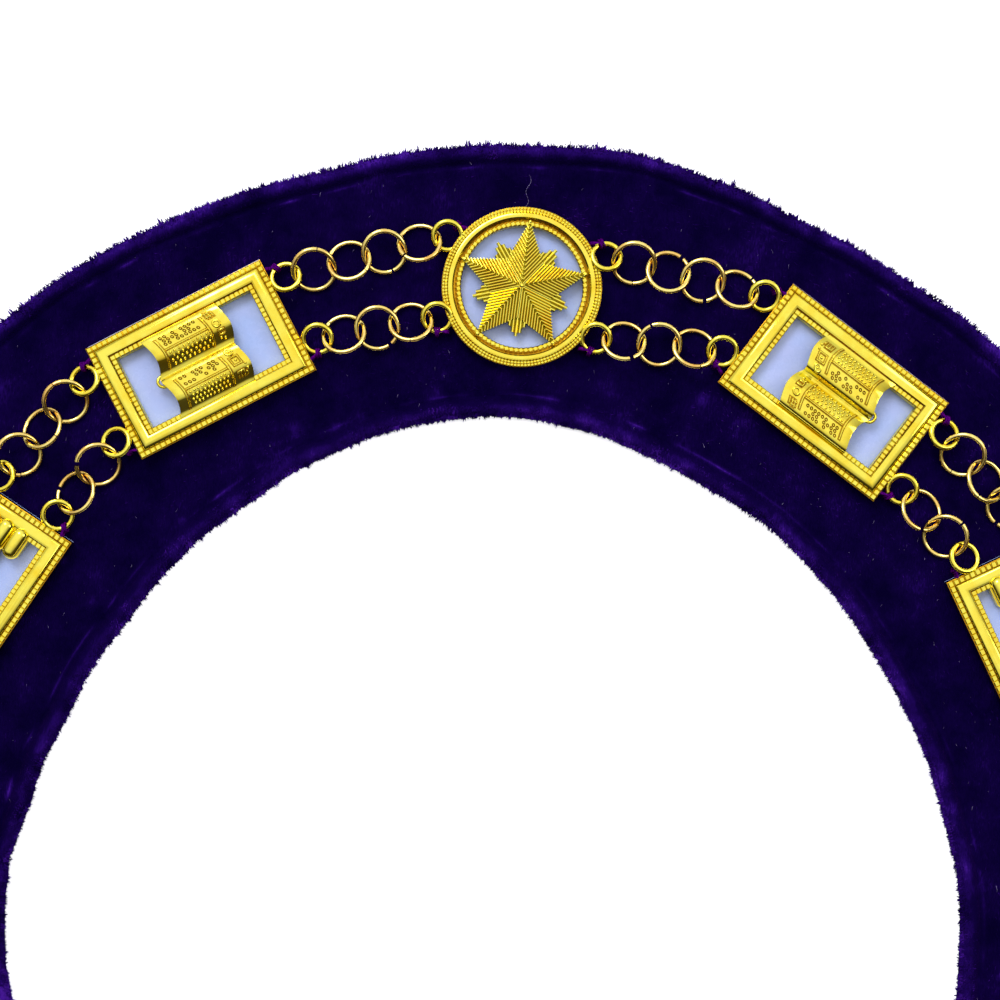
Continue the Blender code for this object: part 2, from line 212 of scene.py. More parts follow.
tree.nodes["Background"].inputs["Strength"].default_value = 1.12


def soft_light(name, location, size, power, color=(1, 1, 1)):
    """A square softbox that looks at the middle of the view."""
    bpy.ops.object.light_add(type="AREA", location=location)
    light = bpy.context.object
    light.name = name
    light.data.shape, light.data.size, light.data.energy, light.data.color = "SQUARE", size, power, color
    light.rotation_euler = (target - Vector(location)).to_track_quat("-Z", "Y").to_euler()


soft_light("key_softbox", (-0.35, 0.85, 1.0), 0.5, 7)
soft_light("fill_softbox", (0.9, 0.35, 0.8), 0.5, 2.5)
bpy.context.scene.view_settings.view_transform = "Standard"

# %% [markdown]
# ## Finishes
# Four finishes cover the collar: polished gilding, velvet pile, thin lilac film and violet thread.
# Effects that more than one of them needs are node groups: one gives uneven fine wear as a value,
# and one gives soft brushed streaks. Each material places them with its own scale.

# %% Shared node groups
def value_group(name, **inputs):
    """Empty shader node group with a Vector input, named float inputs and one Value output."""
    group = bpy.data.node_groups.new(name, "ShaderNodeTree")
    group.interface.new_socket("Vector", in_out="INPUT", socket_type="NodeSocketVector")
    for socket, start in inputs.items():
        made = group.interface.new_socket(socket, in_out="INPUT", socket_type="NodeSocketFloat")
        made.default_value = start
    group.interface.new_socket("Value", in_out="OUTPUT", socket_type="NodeSocketFloat")
    return group, group.nodes.new("NodeGroupInput"), group.nodes.new("NodeGroupOutput")


wear, inside, outside = value_group("uneven_wear", Scale=400.0, Low=0.1, High=0.3)
cloud = add_node(wear, "TexNoise", Detail=6.0, Roughness=0.65)
spread = add_node(wear, "MapRange")
wear.links.new(inside.outputs["Vector"], cloud.inputs["Vector"])
wear.links.new(inside.outputs["Scale"], cloud.inputs["Scale"])
wear.links.new(cloud.outputs["Fac"], spread.inputs["Value"])
wear.links.new(inside.outputs["Low"], spread.inputs["To Min"])
wear.links.new(inside.outputs["High"], spread.inputs["To Max"])
spread.inputs["From Min"].default_value, spread.inputs["From Max"].default_value = 0.3, 0.7
wear.links.new(spread.outputs["Result"], outside.inputs["Value"])

streaks, inside, outside = value_group("streaks", Across=900.0, Along=120.0)
squeeze = add_node(streaks, "CombineXYZ")
stretched = add_node(streaks, "VectorMath", operation="MULTIPLY")
lines = add_node(streaks, "TexNoise", Scale=1.0, Detail=4.0, Roughness=0.6)
for socket, source in (("X", "Across"), ("Y", "Along"), ("Z", "Across")):
    streaks.links.new(inside.outputs[source], squeeze.inputs[socket])
streaks.links.new(inside.outputs["Vector"], stretched.inputs[0])
streaks.links.new(squeeze.outputs["Vector"], stretched.inputs[1])
streaks.links.new(stretched.outputs["Vector"], lines.inputs["Vector"])
streaks.links.new(lines.outputs["Fac"], outside.inputs["Value"])


def place_group(tree, group, vector, **values):
    """The group's value output, placed in a material."""
    node = add_node(tree, "Group")
    node.node_tree = group
    for socket, value in values.items():
        node.inputs[socket].default_value = value
    tree.links.new(vector, node.inputs["Vector"])
    return node.outputs["Value"]


print("groups", [g.name for g in bpy.data.node_groups])


# %% Gilding
def gilding(name, pale, deep, rough_low, rough_high):
    """Polished gold plating: colour and gloss vary a little, with faint pits."""
    mat, tree, shader = new_material(name)
    where = add_node(tree, "TexCoord").outputs["Object"]
    tone = place_group(tree, wear, where, Scale=160.0, Low=0.0, High=1.0)
    tree.links.new(ramp(tree, tone, (0.0, deep), (0.75, pale)), shader.inputs["Base Color"])
    gloss = place_group(tree, wear, where, Scale=700.0, Low=rough_low, High=rough_high)
    tree.links.new(gloss, shader.inputs["Roughness"])
    pits = place_group(tree, wear, where, Scale=420.0, Low=0.0, High=1.0)
    bump = add_node(tree, "Bump", Strength=0.05, Distance=0.0002)
    tree.links.new(pits, bump.inputs["Height"])
    tree.links.new(bump.outputs["Normal"], shader.inputs["Normal"])
    shader.inputs["Metallic"].default_value = 1.0
    return mat


GILT = gilding("bright_gilding", (0.9, 0.79, 0.105), (0.87, 0.63, 0.033), 0.05, 0.14)
GILT_WIRE = gilding("gilt_wire", (1.0, 0.82, 0.26), (0.80, 0.43, 0.10), 0.06, 0.16)
# The recess gilding is a darker copy of the gold: painted shade for hollows, gaps and the seats of raised lines.
GILT_PAINTED_SHADE = gilding("painted_shade_gilding", (0.52, 0.28, 0.012), (0.28, 0.12, 0.004), 0.22, 0.42)
# The groove gilding is a still darker copy: painted shade for the grooves between the star's ribs.
GILT_GROOVE_SHADE = gilding("groove_shade_gilding", (0.22, 0.17, 0.006), (0.09, 0.065, 0.002), 0.2, 0.4)

# %% Velvet, film and thread
VELVET, tree, shader = new_material("purple_velvet")
where = add_node(tree, "TexCoord").outputs["Object"]
crush = place_group(tree, wear, where, Scale=95.0, Low=0.0, High=1.0)
lines = place_group(tree, streaks, where, Across=2600.0, Along=620.0)
# The nap value holds crushed pile and painted sheen on the rolls and edge tufts; the ramp turns higher values into
# brighter violet.
nap = add_node(tree, "Attribute", attribute_name="nap_crush_and_painted_sheen")
mottled = add_node(tree, "Math", operation="MULTIPLY")
tree.links.new(crush, mottled.inputs[0])
tree.links.new(lines, mottled.inputs[1])
blend = add_node(tree, "Math", operation="MULTIPLY_ADD")
tree.links.new(nap.outputs["Fac"], blend.inputs[0])
blend.inputs[1].default_value = 0.55
tree.links.new(mottled.outputs["Value"], blend.inputs[2])
tree.links.new(
    ramp(tree, blend.outputs["Value"], (0.08, (0.002, 0.0004, 0.020)), (0.42, (0.005, 0.0009, 0.042)), (0.74, (0.017, 0.003, 0.118)), (1.0, (0.058, 0.010, 0.29))),
    shader.inputs["Base Color"],
)
shader.inputs["Roughness"].default_value = 0.85
shader.inputs["Specular IOR Level"].default_value = 0.0
shader.inputs["Sheen Weight"].default_value = 0.12
shader.inputs["Sheen Roughness"].default_value = 0.3
shader.inputs["Sheen Tint"].default_value = (0.16, 0.03, 0.62, 1)
raised = add_node(tree, "Bump", Strength=0.8, Distance=0.0006)
tree.links.new(lines, raised.inputs["Height"])
tree.links.new(raised.outputs["Normal"], shader.inputs["Normal"])

FILM, tree, shader = new_material("lilac_film")
where = add_node(tree, "TexCoord").outputs["Object"]
haze = place_group(tree, wear, where, Scale=60.0, Low=0.0, High=1.0)
tree.links.new(ramp(tree, haze, (0.0, (0.34, 0.46, 0.88)), (1.0, (0.45, 0.52, 0.93))), shader.inputs["Base Color"])
tree.links.new(place_group(tree, wear, where, Scale=350.0, Low=0.12, High=0.4), shader.inputs["Roughness"])
ripple = add_node(tree, "Bump", Strength=0.25, Distance=0.0004)
tree.links.new(place_group(tree, streaks, where, Across=160.0, Along=70.0), ripple.inputs["Height"])
tree.links.new(ripple.outputs["Normal"], shader.inputs["Normal"])

THREAD, tree, shader = new_material("violet_thread")
where = add_node(tree, "TexCoord").outputs["Object"]
twist = place_group(tree, wear, where, Scale=2600.0, Low=0.0, High=1.0)
tree.links.new(ramp(tree, twist, (0.2, (0.03, 0.0005, 0.07)), (0.8, (0.115, 0.002, 0.22))), shader.inputs["Base Color"])
shader.inputs["Roughness"].default_value = 0.7
shader.inputs["Specular IOR Level"].default_value = 0.0

LINT, tree, shader = new_material("pale_lint")
where = add_node(tree, "TexCoord").outputs["Object"]
dust = place_group(tree, wear, where, Scale=300.0, Low=0.0, High=1.0)
tree.links.new(ramp(tree, dust, (0.2, (0.05, 0.03, 0.13)), (0.8, (0.22, 0.19, 0.38))), shader.inputs["Base Color"])
shader.inputs["Roughness"].default_value = 0.8
print("materials", [m.name for m in (GILT, GILT_WIRE, GILT_PAINTED_SHADE, GILT_GROOVE_SHADE, VELVET, FILM, THREAD, LINT)])

# %% [markdown]
# ## Working by hand in code
# Every metal piece starts as a primitive. A few helpers do what a hand does with the mouse: take one
# object into edit mode, pick faces by where they are and which way they look, and step them in or up.

# %% Picking, stepping and copying
def only(obj):
    """Leaves edit mode, and selects this object and nothing else."""
    if bpy.context.object and bpy.context.object.mode != "OBJECT":
        bpy.ops.object.mode_set(mode="OBJECT")
    bpy.ops.object.select_all(action="DESELECT")
    obj.select_set(True)
    bpy.context.view_layer.objects.active = obj
    return obj


def pick(obj, test, kind="FACE"):
    """Goes into edit mode with only the faces (or edges, or vertices) selected that pass the test."""
    only(obj)
    bpy.ops.object.mode_set(mode="EDIT")
    bpy.ops.mesh.select_mode(type=kind)
    bpy.ops.mesh.select_all(action="DESELECT")
    bm = bmesh.from_edit_mesh(obj.data)
    for item in {"FACE": bm.faces, "EDGE": bm.edges, "VERT": bm.verts}[kind]:
        if kind == "FACE":
            chosen = test(item.calc_center_median(), item.normal)
        elif kind == "EDGE":
            chosen = test((item.verts[0].co + item.verts[1].co) / 2, item.verts[0].co - item.verts[1].co)
        else:
            chosen = test(item.co, item.normal)
        item.select_set(bool(chosen))
    bmesh.update_edit_mesh(obj.data)
    return bm


def put_down(obj, name, mat, smooth=35):
    """Ends the work on a piece: object mode, place in the mesh, finish, and smooth shading."""
    only(obj)
    bpy.ops.object.transform_apply(location=True, rotation=True, scale=True)
    obj.name = obj.data.name = name
    obj.data.materials.clear()
    obj.data.materials.append(mat)
    bpy.ops.object.shade_smooth_by_angle(angle=math.radians(smooth))
    return obj


def join(parts, name):
    """One object out of several, the first one under the given name, with all the finishes."""
    only(parts[0])
    for part in parts:
        part.select_set(True)
    bpy.ops.object.join()
    parts[0].name = parts[0].data.name = name
    return parts[0]


def repeated(master, places, name):
    """Copies of a small finished shape at every place, as one object. The master stays."""
    bm = bmesh.new()
    for place in places:
        mesh = master.data.copy()
        mesh.transform(place)
        bm.from_mesh(mesh)
        bpy.data.meshes.remove(mesh)
    mesh = bpy.data.meshes.new(name)
    bm.to_mesh(mesh)
    bm.free()
    for mat in master.data.materials:
        mesh.materials.append(mat)
    obj = bpy.data.objects.new(name, mesh)
    bpy.context.scene.collection.objects.link(obj)
    return obj


def discard(*objs):
    for obj in objs:
        bpy.data.objects.remove(obj)


def stepped(obj, steps, hole):
    """Steps the top of a slab inwards by (inset, rise) in mm, and opens a hole right through it."""
    top = max(v.co.z for v in obj.data.vertices)
    pick(obj, lambda middle, normal: normal.z > 0.9 and middle.z > top - 1e-7)
    for inset, rise in steps:
        bpy.ops.mesh.inset(thickness=inset * MM, depth=rise * MM, use_even_offset=True)
    inner = sum(inset for inset, _ in steps)
    bm = bmesh.from_edit_mesh(obj.data)
    opening = [face for face in bm.faces if face.select]
    assert len(opening) == 1 and inner <= hole, (len(opening), inner, hole)
    level = opening[0].calc_center_median().z
    pick(obj, lambda middle, normal: normal.z < -0.9 and middle.z < 1e-7 and middle.xy.length < 1e-6)
    bpy.ops.mesh.inset(thickness=inner * MM, depth=0, use_even_offset=True)
    pick(obj, lambda middle, normal: abs(normal.z) > 0.9 and middle.xy.length < 1e-6
         and (abs(middle.z - level) < 1e-6 or middle.z < 1e-6))
    bpy.ops.mesh.bridge_edge_loops()
    bpy.ops.object.mode_set(mode="OBJECT")
    return obj


def paint_shade(obj, test):
    """Gives painted shade, the darker recess gilding, to the upward faces whose middle passes the test."""
    obj.data.materials.append(GILT_PAINTED_SHADE)
    for face in obj.data.polygons:
        if face.normal.z > -0.5 and face.center.z > 1.2 * MM and test(face.center):
            face.material_index = 1
    return obj


# %% [markdown]
# ## Beads
# Every frame has milled rows of beads. At this scale a bead is a small rounded cushion, so it is a cube whose edges are
# bevelled once: 26 faces, shaded flat, which stay light in their thousands.

# %% One bead, and rows of it
def bead_master(size):
    only(floor)
    bpy.ops.mesh.primitive_cube_add(size=1, scale=[s * MM for s in size])
    bead = bpy.context.object
    bpy.ops.object.transform_apply(location=False, rotation=False, scale=True)
    bpy.ops.object.mode_set(mode="EDIT")
    bpy.ops.mesh.bevel(offset=0.2 * min(size) * MM, segments=1, affect="EDGES")
    return put_down(bead, "bead", GILT, 20)


PLATE_Z = 4.45 * MM
FRAME_LONG, FRAME_SHORT, DISC_RADIUS = 49.4, 31.3, 20.2


def frame_row(inset, pitch, z):
    """Places of beads round a rectangle, inset from the plate's edge, all in mm."""
    half_x, half_y = FRAME_LONG / 2 - inset, FRAME_SHORT / 2 - inset
    places = []
    for half, other, angle in ((half_x, half_y, 0), (half_y, half_x, 90), (half_x, half_y, 180), (half_y, half_x, 270)):
        count = round(2 * half / pitch)
        turn = Matrix.Rotation(math.radians(angle), 4, "Z")
        for k in range(count):
            spot = Vector((-half + 2 * half * k / count, -other, z)) * MM
            places.append(turn @ Matrix.Translation(spot))
    return places


def round_row(radius, pitch, z, slant=0.0):
    """Places of beads round a circle, each one turned by slant degrees."""
    count = round(2 * math.pi * radius / pitch)
    places = []
    for k in range(count):
        turn = Matrix.Rotation(2 * math.pi * k / count, 4, "Z")
        places.append(turn @ Matrix.Translation((radius * MM, 0, z * MM)) @ Matrix.Rotation(math.radians(slant), 4, "Z"))
    return places


square_bead = bead_master((1.3, 1.3, 0.9))
small_bead = bead_master((1.14, 1.12, 0.8))
fine_bead = bead_master((0.72, 0.7, 0.6))
inner_bead = bead_master((1.2, 1.34, 0.85))
print("bead faces", len(square_bead.data.polygons))

# %% [markdown]
# ## Frames
# The rectangular frame is a stamped moulding with mitred corners. Insetting one face again and again
# keeps its corners mitred, so each inset with its rise is one line of the moulding. The opening for
# the window is bridged between the top and the bottom.

# %% Rectangular frame
MOULDING = (
    (0.10, 0.05), (1.45, 0.0), (0.06, -0.3), (0.08, 0.0), (0.04, 0.7), (0.38, 0.42), (0.37, 0.13), (0.12, 0.06), (0.65, 0.05),
    (0.65, -0.05), (0.12, -0.06), (0.28, -0.1), (0.27, -0.32), (0.05, -0.93), (0.10, 0.0), (0.04, 0.25), (1.02, 0.0), (0.12, -0.25),
)
only(floor)
bpy.ops.mesh.primitive_cube_add(size=1, location=(0, 0, 1.15 * MM), scale=(FRAME_LONG * MM, FRAME_SHORT * MM, 2.3 * MM))
rect_frame = bpy.context.object
bpy.ops.object.transform_apply(location=True, rotation=False, scale=True)
stepped(rect_frame, MOULDING, 5.91)
put_down(rect_frame, "rect_frame", GILT, 30)
# Painted shade: the low faces round the bead rows, and one slope over the window, get the darker gilding.
paint_shade(rect_frame, lambda middle: middle.z < 2.5 * MM or (  # and painted shade on the slope over the window, on one long side only
    4.29 < FRAME_SHORT / 2 - middle.y / MM < 4.64 and abs(middle.x) < (FRAME_LONG / 2 - 4.2) * MM))
beads = repeated(square_bead, frame_row(0.82, 1.45, 2.45), "outer_beads")
inner_beads = repeated(inner_bead, frame_row(5.2, 1.32, 2.28), "inner_beads")
rect_frame = join([rect_frame, beads, inner_beads], "rect_frame")
print("rect frame", len(rect_frame.data.polygons), "faces")

# %% Round frame
ROUND_MOULDING = (
    (0.10, 0.05), (0.64, 0.0), (0.03, 0.12), (0.64, 0.0), (0.04, -0.2), (0.03, 0.0), (0.04, 0.55), (0.16, 0.32), (0.50, 0.14),
    (0.50, -0.08), (0.28, -0.26), (0.06, -0.5), (0.50, -0.30), (0.06, 0.0), (0.05, 0.15), (1.06, 0.0), (0.15, -0.25),
)
only(floor)
bpy.ops.mesh.primitive_cylinder_add(vertices=112, radius=DISC_RADIUS * MM, depth=2.2 * MM, location=(0, 0, 1.1 * MM))
round_frame = bpy.context.object
bpy.ops.object.transform_apply(location=True, rotation=False, scale=True)
stepped(round_frame, ROUND_MOULDING, 4.91)
put_down(round_frame, "round_frame", GILT, 30)
# Painted shade: the low faces and everything inside 17.2 mm, the bead channel and the slope to the window, get the
# darker gilding.
paint_shade(round_frame, lambda middle: middle.z < 2.62 * MM or middle.xy.length < 17.2 * MM)
rows = [
    repeated(fine_bead, round_row(DISC_RADIUS - 0.44, 0.86, 2.35, 12), "outer_fine_beads"),
    repeated(fine_bead, round_row(DISC_RADIUS - 1.12, 0.83, 2.5, -12), "second_fine_beads"),
    repeated(small_bead, round_row(DISC_RADIUS - 4.25, 1.22, 2.1, 18), "inner_round_beads"),
]
round_frame = join([round_frame, *rows], "round_frame")
print("round frame", len(round_frame.data.polygons), "faces")

# %% [markdown]
# ## Star
# The medallion's star has five long ribbed points over five short ones. A point is two sloping
# planes that meet on a ridge, and its ribs run side by side, parallel to the valley beside it, so
# they meet on the ridge as chevrons. The body is a ten-cornered prism with its middle pulled up.
# One rib is modelled as a bar with a sharp back, then copied onto each slope at its own length.

# %% Star body and ribs
STAR_LOW = 0.6


def star_body(tip, valley, edge, centre, turn, name):
    """Ten-cornered prism whose middle is pulled up, heights above the plate's back in mm."""
    only(floor)
    bpy.ops.mesh.primitive_cylinder_add(vertices=10, radius=1, depth=1, end_fill_type="TRIFAN")
    body = bpy.context.object
    bm = bmesh.new()
    bm.from_mesh(body.data)
    first = 90 + turn
    for v in bm.verts:
        low = v.co.z < 0
        if v.co.xy.length > 0.5:
            k = round((math.degrees(math.atan2(v.co.y, v.co.x)) - 90) / 36)
            reach = (valley if k % 2 else tip) * MM
            angle = math.radians(first + 36 * k)
            v.co = (reach * math.cos(angle), reach * math.sin(angle), (STAR_LOW if low else edge) * MM)
        else:
            v.co = (0, 0, (STAR_LOW if low else centre) * MM)
    bmesh.ops.recalc_face_normals(bm, faces=bm.faces)
    bm.to_mesh(body.data)
    bm.free()
    # The body's darker gilding is painted shade, seen in the gaps between the ribs.
    return put_down(body, name, GILT_GROOVE_SHADE, 12)


def rib_master():
    """A bar of length 1 and width 1 from x = 0, its top drawn up to a sharp back."""
    only(floor)
    bpy.ops.mesh.primitive_cube_add(size=1, location=(0.5, 0, 0))
    rib = bpy.context.object
    bpy.ops.object.transform_apply(location=True, rotation=False, scale=False)
    pick(rib, lambda middle, normal: normal.z > 0.9)
    bpy.ops.transform.resize(value=(1, 0.32, 1), center_override=(0.5, 0, 0.5))
    return put_down(rib, "rib", GILT, 20)


def rib_places(tip, valley, edge, centre, turn, count, high, wide):
    """Matrices for ribs on the ten slopes of a star."""
    places, top = [], Vector((0, 0, centre)) * MM
    for k in range(5):
        for hand in (-1, 1):
            ridge, side = math.radians(90 + turn + 72 * k), math.radians(90 + turn + 72 * k + 36 * hand)
            point = Vector((tip * math.cos(ridge), tip * math.sin(ridge), edge)) * MM
            notch = Vector((valley * math.cos(side), valley * math.sin(side), edge)) * MM
            along = (notch - top).normalized()
            normal = (point - top).cross(notch - top).normalized()
            normal = normal if normal.z > 0 else -normal
            across = normal.cross(along)
            for n in range(count):
                share = (n + 0.35) / count
                start = top.lerp(point, share)
                length = (notch - top).length * (1 - share)
                spread = (point - top).length / count * abs((point - top).normalized().dot(across)) * wide
                columns = (along * length * 1.01, across * spread, normal * high * MM)
                matrix = Matrix.Identity(4)
                for c, column in enumerate(columns):
                    for r in range(3):
                        matrix[r][c] = column[r]
                matrix.translation = start + normal * high * 0.42 * MM
                places.append(matrix)
    return places


def short_rib_places():
    """Matrices for the five ribs along each short point, each one as long as the point is there."""
    places = []
    for k in range(5):
        turn = Matrix.Rotation(math.radians(126 + 72 * k), 4, "Z")
        for n in range(-2, 3):
            reach = 12.6 - 0.7 * abs(n) - 0.28 * n * n - 6.0
            shape = Matrix.Diagonal((reach * MM, 0.9 * MM, 0.7 * MM, 1))
            places.append(turn @ Matrix.Translation((6.0 * MM, n * 0.92 * MM, (2.75 - 0.12 * abs(n)) * MM)) @ shape)
    return places


BIG, SMALL = (16.5, 7.7, 3.0, 4.1, 0), (12.5, 7.4, 2.5, 2.9, 36)
rib = rib_master()
star_parts = [star_body(*BIG, "star_body"), star_body(*SMALL, "small_star_body")]
star_parts.append(repeated(rib, rib_places(*BIG, 14, 0.7, 0.88), "star_ribs"))
star_parts.append(repeated(rib, short_rib_places(), "small_star_ribs"))
print("star ribs", len(star_parts[2].data.polygons) + len(star_parts[3].data.polygons), "faces")

# %% Balls on the tips and the boss in the middle
only(floor)
bpy.ops.mesh.primitive_uv_sphere_add(segments=10, ring_count=6, radius=0.55 * MM, location=(0, 0, 0))
ball = bpy.context.object
pick(ball, lambda middle, normal: middle.z > 0.2 * MM)
bpy.ops.transform.resize(value=(0.9, 0.9, 0.85), center_override=(0, 0, 0))
put_down(ball, "ball", GILT, 60)
tips = [
    Matrix.Rotation(math.radians(90 + 72 * k), 4, "Z") @ Matrix.Translation((16.3 * MM, 0, 3.3 * MM)) for k in range(5)
]
star_parts.append(repeated(ball, tips, "tip_balls"))
boss = Matrix.Translation((0, 0, 4.4 * MM)) @ Matrix.Scale(1.3, 4)
star_parts.append(repeated(ball, [boss], "star_boss"))
disc_master = join([round_frame, *star_parts], "disc_master")
print("disc", len(disc_master.data.polygons), "faces")

# %% [markdown]
# ## The two folds
# The badge in the book plates is a stamped sheet with two arched folds, like a scroll laid over two
# rollers. The sheet is a grid whose rows are lifted onto the arches and pushed out sideways, then
# given a wall. Its ruled lines, dots and small signs are modelled flat and laid on the same arches.

# %% The sheet and its arches
FOLD_WIDE, FOLD_TALL = 20.8, 22.2
# Height of one fold from its upper edge to its lower one: quickly up, a broad top, and a steep fall.
FOLD_CURVE = ((0, 0), (0.035, 0.55), (0.08, 0.86), (0.16, 0.96), (0.34, 1), (0.54, 0.96), (0.62, 0.87), (0.70, 0.68),
              (0.90, 0.12), (1, 0))


def arch(y):
    """Sideways push and height above the plate's back at y, in mm."""
    phase = 2 * min(max((FOLD_TALL / 2 - y) / FOLD_TALL, 0), 0.99999) % 1
    for (p0, h0), (p1, h1) in zip(FOLD_CURVE, FOLD_CURVE[1:]):
        if p0 <= phase <= p1:
            rise = h0 + (h1 - h0) * (phase - p0) / (p1 - p0)
    return 1.7 * math.sin(math.pi * phase ** 1.25) - 0.9, 2.78 + 2.22 * rise


def lay_on_arches(obj, tilt=True):
    """Carries a flat piece, modelled in mm with z from the sheet's face, onto the arches."""
    for v in obj.data.vertices:
        x, y, z = v.co / MM
        push, height = arch(y)
        slope = (arch(y + 0.05)[1] - arch(y - 0.05)[1]) / 0.1 if tilt else 0.0
        slope = max(-1.6, min(1.6, slope))
        length = math.hypot(1, slope)
        v.co = Vector((x + push, y - z * slope / length, height + z / length)) * MM
    return obj


only(floor)
bpy.ops.mesh.primitive_grid_add(x_subdivisions=10, y_subdivisions=64, size=1)
folds = bpy.context.object
bpy.ops.transform.resize(value=(FOLD_WIDE * MM, FOLD_TALL * MM, 1), center_override=(0, 0, 0))
bpy.ops.object.transform_apply(location=True, rotation=False, scale=True)
lay_on_arches(folds, tilt=False)
wall = folds.modifiers.new("wall", "SOLIDIFY")
wall.thickness, wall.offset = 1.3 * MM, -1
only(folds)
bpy.ops.object.modifier_apply(modifier="wall")
rounded = folds.modifiers.new("rounded", "BEVEL")
rounded.width, rounded.segments, rounded.limit_method, rounded.angle_limit = 0.14 * MM, 2, "ANGLE", math.radians(50)
bpy.ops.object.modifier_apply(modifier="rounded")
put_down(folds, "folds", GILT, 40)
print("folds", len(folds.data.polygons), "faces")

# %% Ruled lines, dots and signs
fold_parts = [folds]


def fold_bar(x0, x1, y0, y1, high=0.32, cuts=1):
    """Raised line between two corners in mm, with a narrower back."""
    only(floor)
    size = (abs(x1 - x0), abs(y1 - y0), high)
    bpy.ops.mesh.primitive_cube_add(
        size=1, location=((x0 + x1) / 2 * MM, (y0 + y1) / 2 * MM, high / 2 * MM), scale=[s * MM for s in size])
    bar = bpy.context.object
    bpy.ops.object.transform_apply(location=True, rotation=False, scale=True)
    bpy.ops.object.mode_set(mode="EDIT")
    bpy.ops.mesh.bevel(offset=0.3 * min(size) * MM, segments=1, affect="EDGES")
    if cuts > 1:
        for k in range(1, cuts):
            bpy.ops.mesh.select_all(action="SELECT")
            y = (min(y0, y1) + abs(y1 - y0) * k / cuts) * MM
            bpy.ops.mesh.bisect(plane_co=(0, y, 0), plane_no=(0, 1, 0))
    put_down(bar, "fold_bar", GILT, 40)
    if high > 0.2:  # a darker seat under the line is painted shade, and shows as the line's outline
        seat = 0.2
        fold_bar(x0 - seat, x1 + seat, y0 - seat, y1 + seat, high=0.12, cuts=cuts)
    else:
        bar.data.materials[0] = GILT_PAINTED_SHADE
    fold_parts.append(lay_on_arches(bar))


def fold_copies(master, spots, name):
    made = repeated(master, [Matrix.Translation((x * MM, y * MM, z * MM)) for x, y, z in spots], name)
    fold_parts.append(lay_on_arches(made))


only(floor)
bpy.ops.mesh.primitive_torus_add(major_segments=9, minor_segments=4, major_radius=0.33 * MM, minor_radius=0.14 * MM)
# The ringlets take the darker recess gilding: painted shade for the hollows of the small rings.
ringlet = put_down(bpy.context.object, "ringlet", GILT_PAINTED_SHADE, 80)
only(floor)
bpy.ops.mesh.primitive_torus_add(major_segments=14, minor_segments=5, major_radius=0.85 * MM, minor_radius=0.33 * MM)
ring_boss = put_down(bpy.context.object, "ring_boss", GILT, 80)
only(floor)
bpy.ops.mesh.primitive_ico_sphere_add(subdivisions=1, radius=0.42 * MM)
pearl = bpy.context.object
pick(pearl, lambda middle, normal: middle.z < 0)
bpy.ops.transform.resize(value=(1, 1, 0.5), center_override=(0, 0, 0))
put_down(pearl, "pearl", GILT, 80)

for base in (5.5, -5.6):  # the middles of the two folds
    fold_bar(-7.9, -7.4, base - 4.3, base + 3.5, high=0.42, cuts=14)
    fold_bar(4.7, 5.2, base - 4.3, base + 3.5, high=0.42, cuts=14)
    fold_bar(-7.2, 4.6, base - 0.05, base + 0.35, high=0.4)
    ringlets = [(-6.2 + 1.15 * k + 0.3 * (row % 2), base + 1.45 + 0.95 * row, 0.1) for row in range(3) for k in range(9)
                if chance.random() < 0.6]
    fold_copies(ringlet, ringlets, "ringlets")
    gap = 1.3 if base > 0 else 1.08
    pearls = [(-6.5 + gap * k + gap / 2 * (row % 2), base - 0.8 - 0.95 * row, 0.1) for row in range(4) for k in range(9 if base > 0 else 10)]
    fold_copies(pearl, [(x + chance.uniform(-0.12, 0.12), y, z) for x, y, z in pearls], "pearls")
fold_copies(ring_boss, [(7.2, 5.8, 0.1), (7.5, -2.0, 0.1)], "ring_bosses")
fold_copies(pearl, [(7.5, -2.0, 0.1), (7.45, -4.6, 0.15), (7.0, 2.4, 0.1), (8.1, 1.9, 0.1), (9.1, -6.2, 0.1), (9.2, -7.4, 0.1)], "sign_pearls")
for x0, x1, y0, y1 in (
    (6.0, 7.7, 8.9, 9.25), (6.0, 7.7, 8.0, 8.35), (6.3, 6.65, 7.6, 9.6), (7.1, 7.45, 7.6, 9.6), (7.9, 8.3, 7.7, 9.3),
    (6.6, 8.4, 3.9, 4.25), (6.6, 8.4, 2.9, 3.25), (6.6, 6.95, 3.0, 4.2),
    (6.2, 8.7, -3.75, -3.4), (6.2, 8.7, -5.85, -5.5), (6.2, 6.55, -5.8, -3.5), (8.35, 8.7, -5.8, -3.5),
    (6.3, 6.65, -8.9, -7.2), (7.1, 7.45, -8.9, -7.2), (7.9, 8.25, -8.9, -7.2), (6.3, 8.25, -7.6, -7.2), (8.6, 8.95, -8.9, -7.9),
):
    fold_bar(x0, x1, y0, y1, high=0.42)
only(floor)
bpy.ops.mesh.primitive_torus_add(
    major_segments=24, minor_segments=8, major_radius=1.42 * MM, minor_radius=0.42 * MM,
    location=(-10.9 * MM, -0.7 * MM, 2.3 * MM), rotation=(0, 0.2, 0))
fold_parts.append(put_down(bpy.context.object, "small_ring", GILT, 80))
fold_master = join(fold_parts, "fold_master")
print("fold relief", len(fold_master.data.polygons), "faces")

# %% [markdown]
# ## The lobes
# The other plates carry three polished lobes over each short side. A lobe is a cylinder with a round
# end drawn out to an oblong: a rounded top above a thin flange.

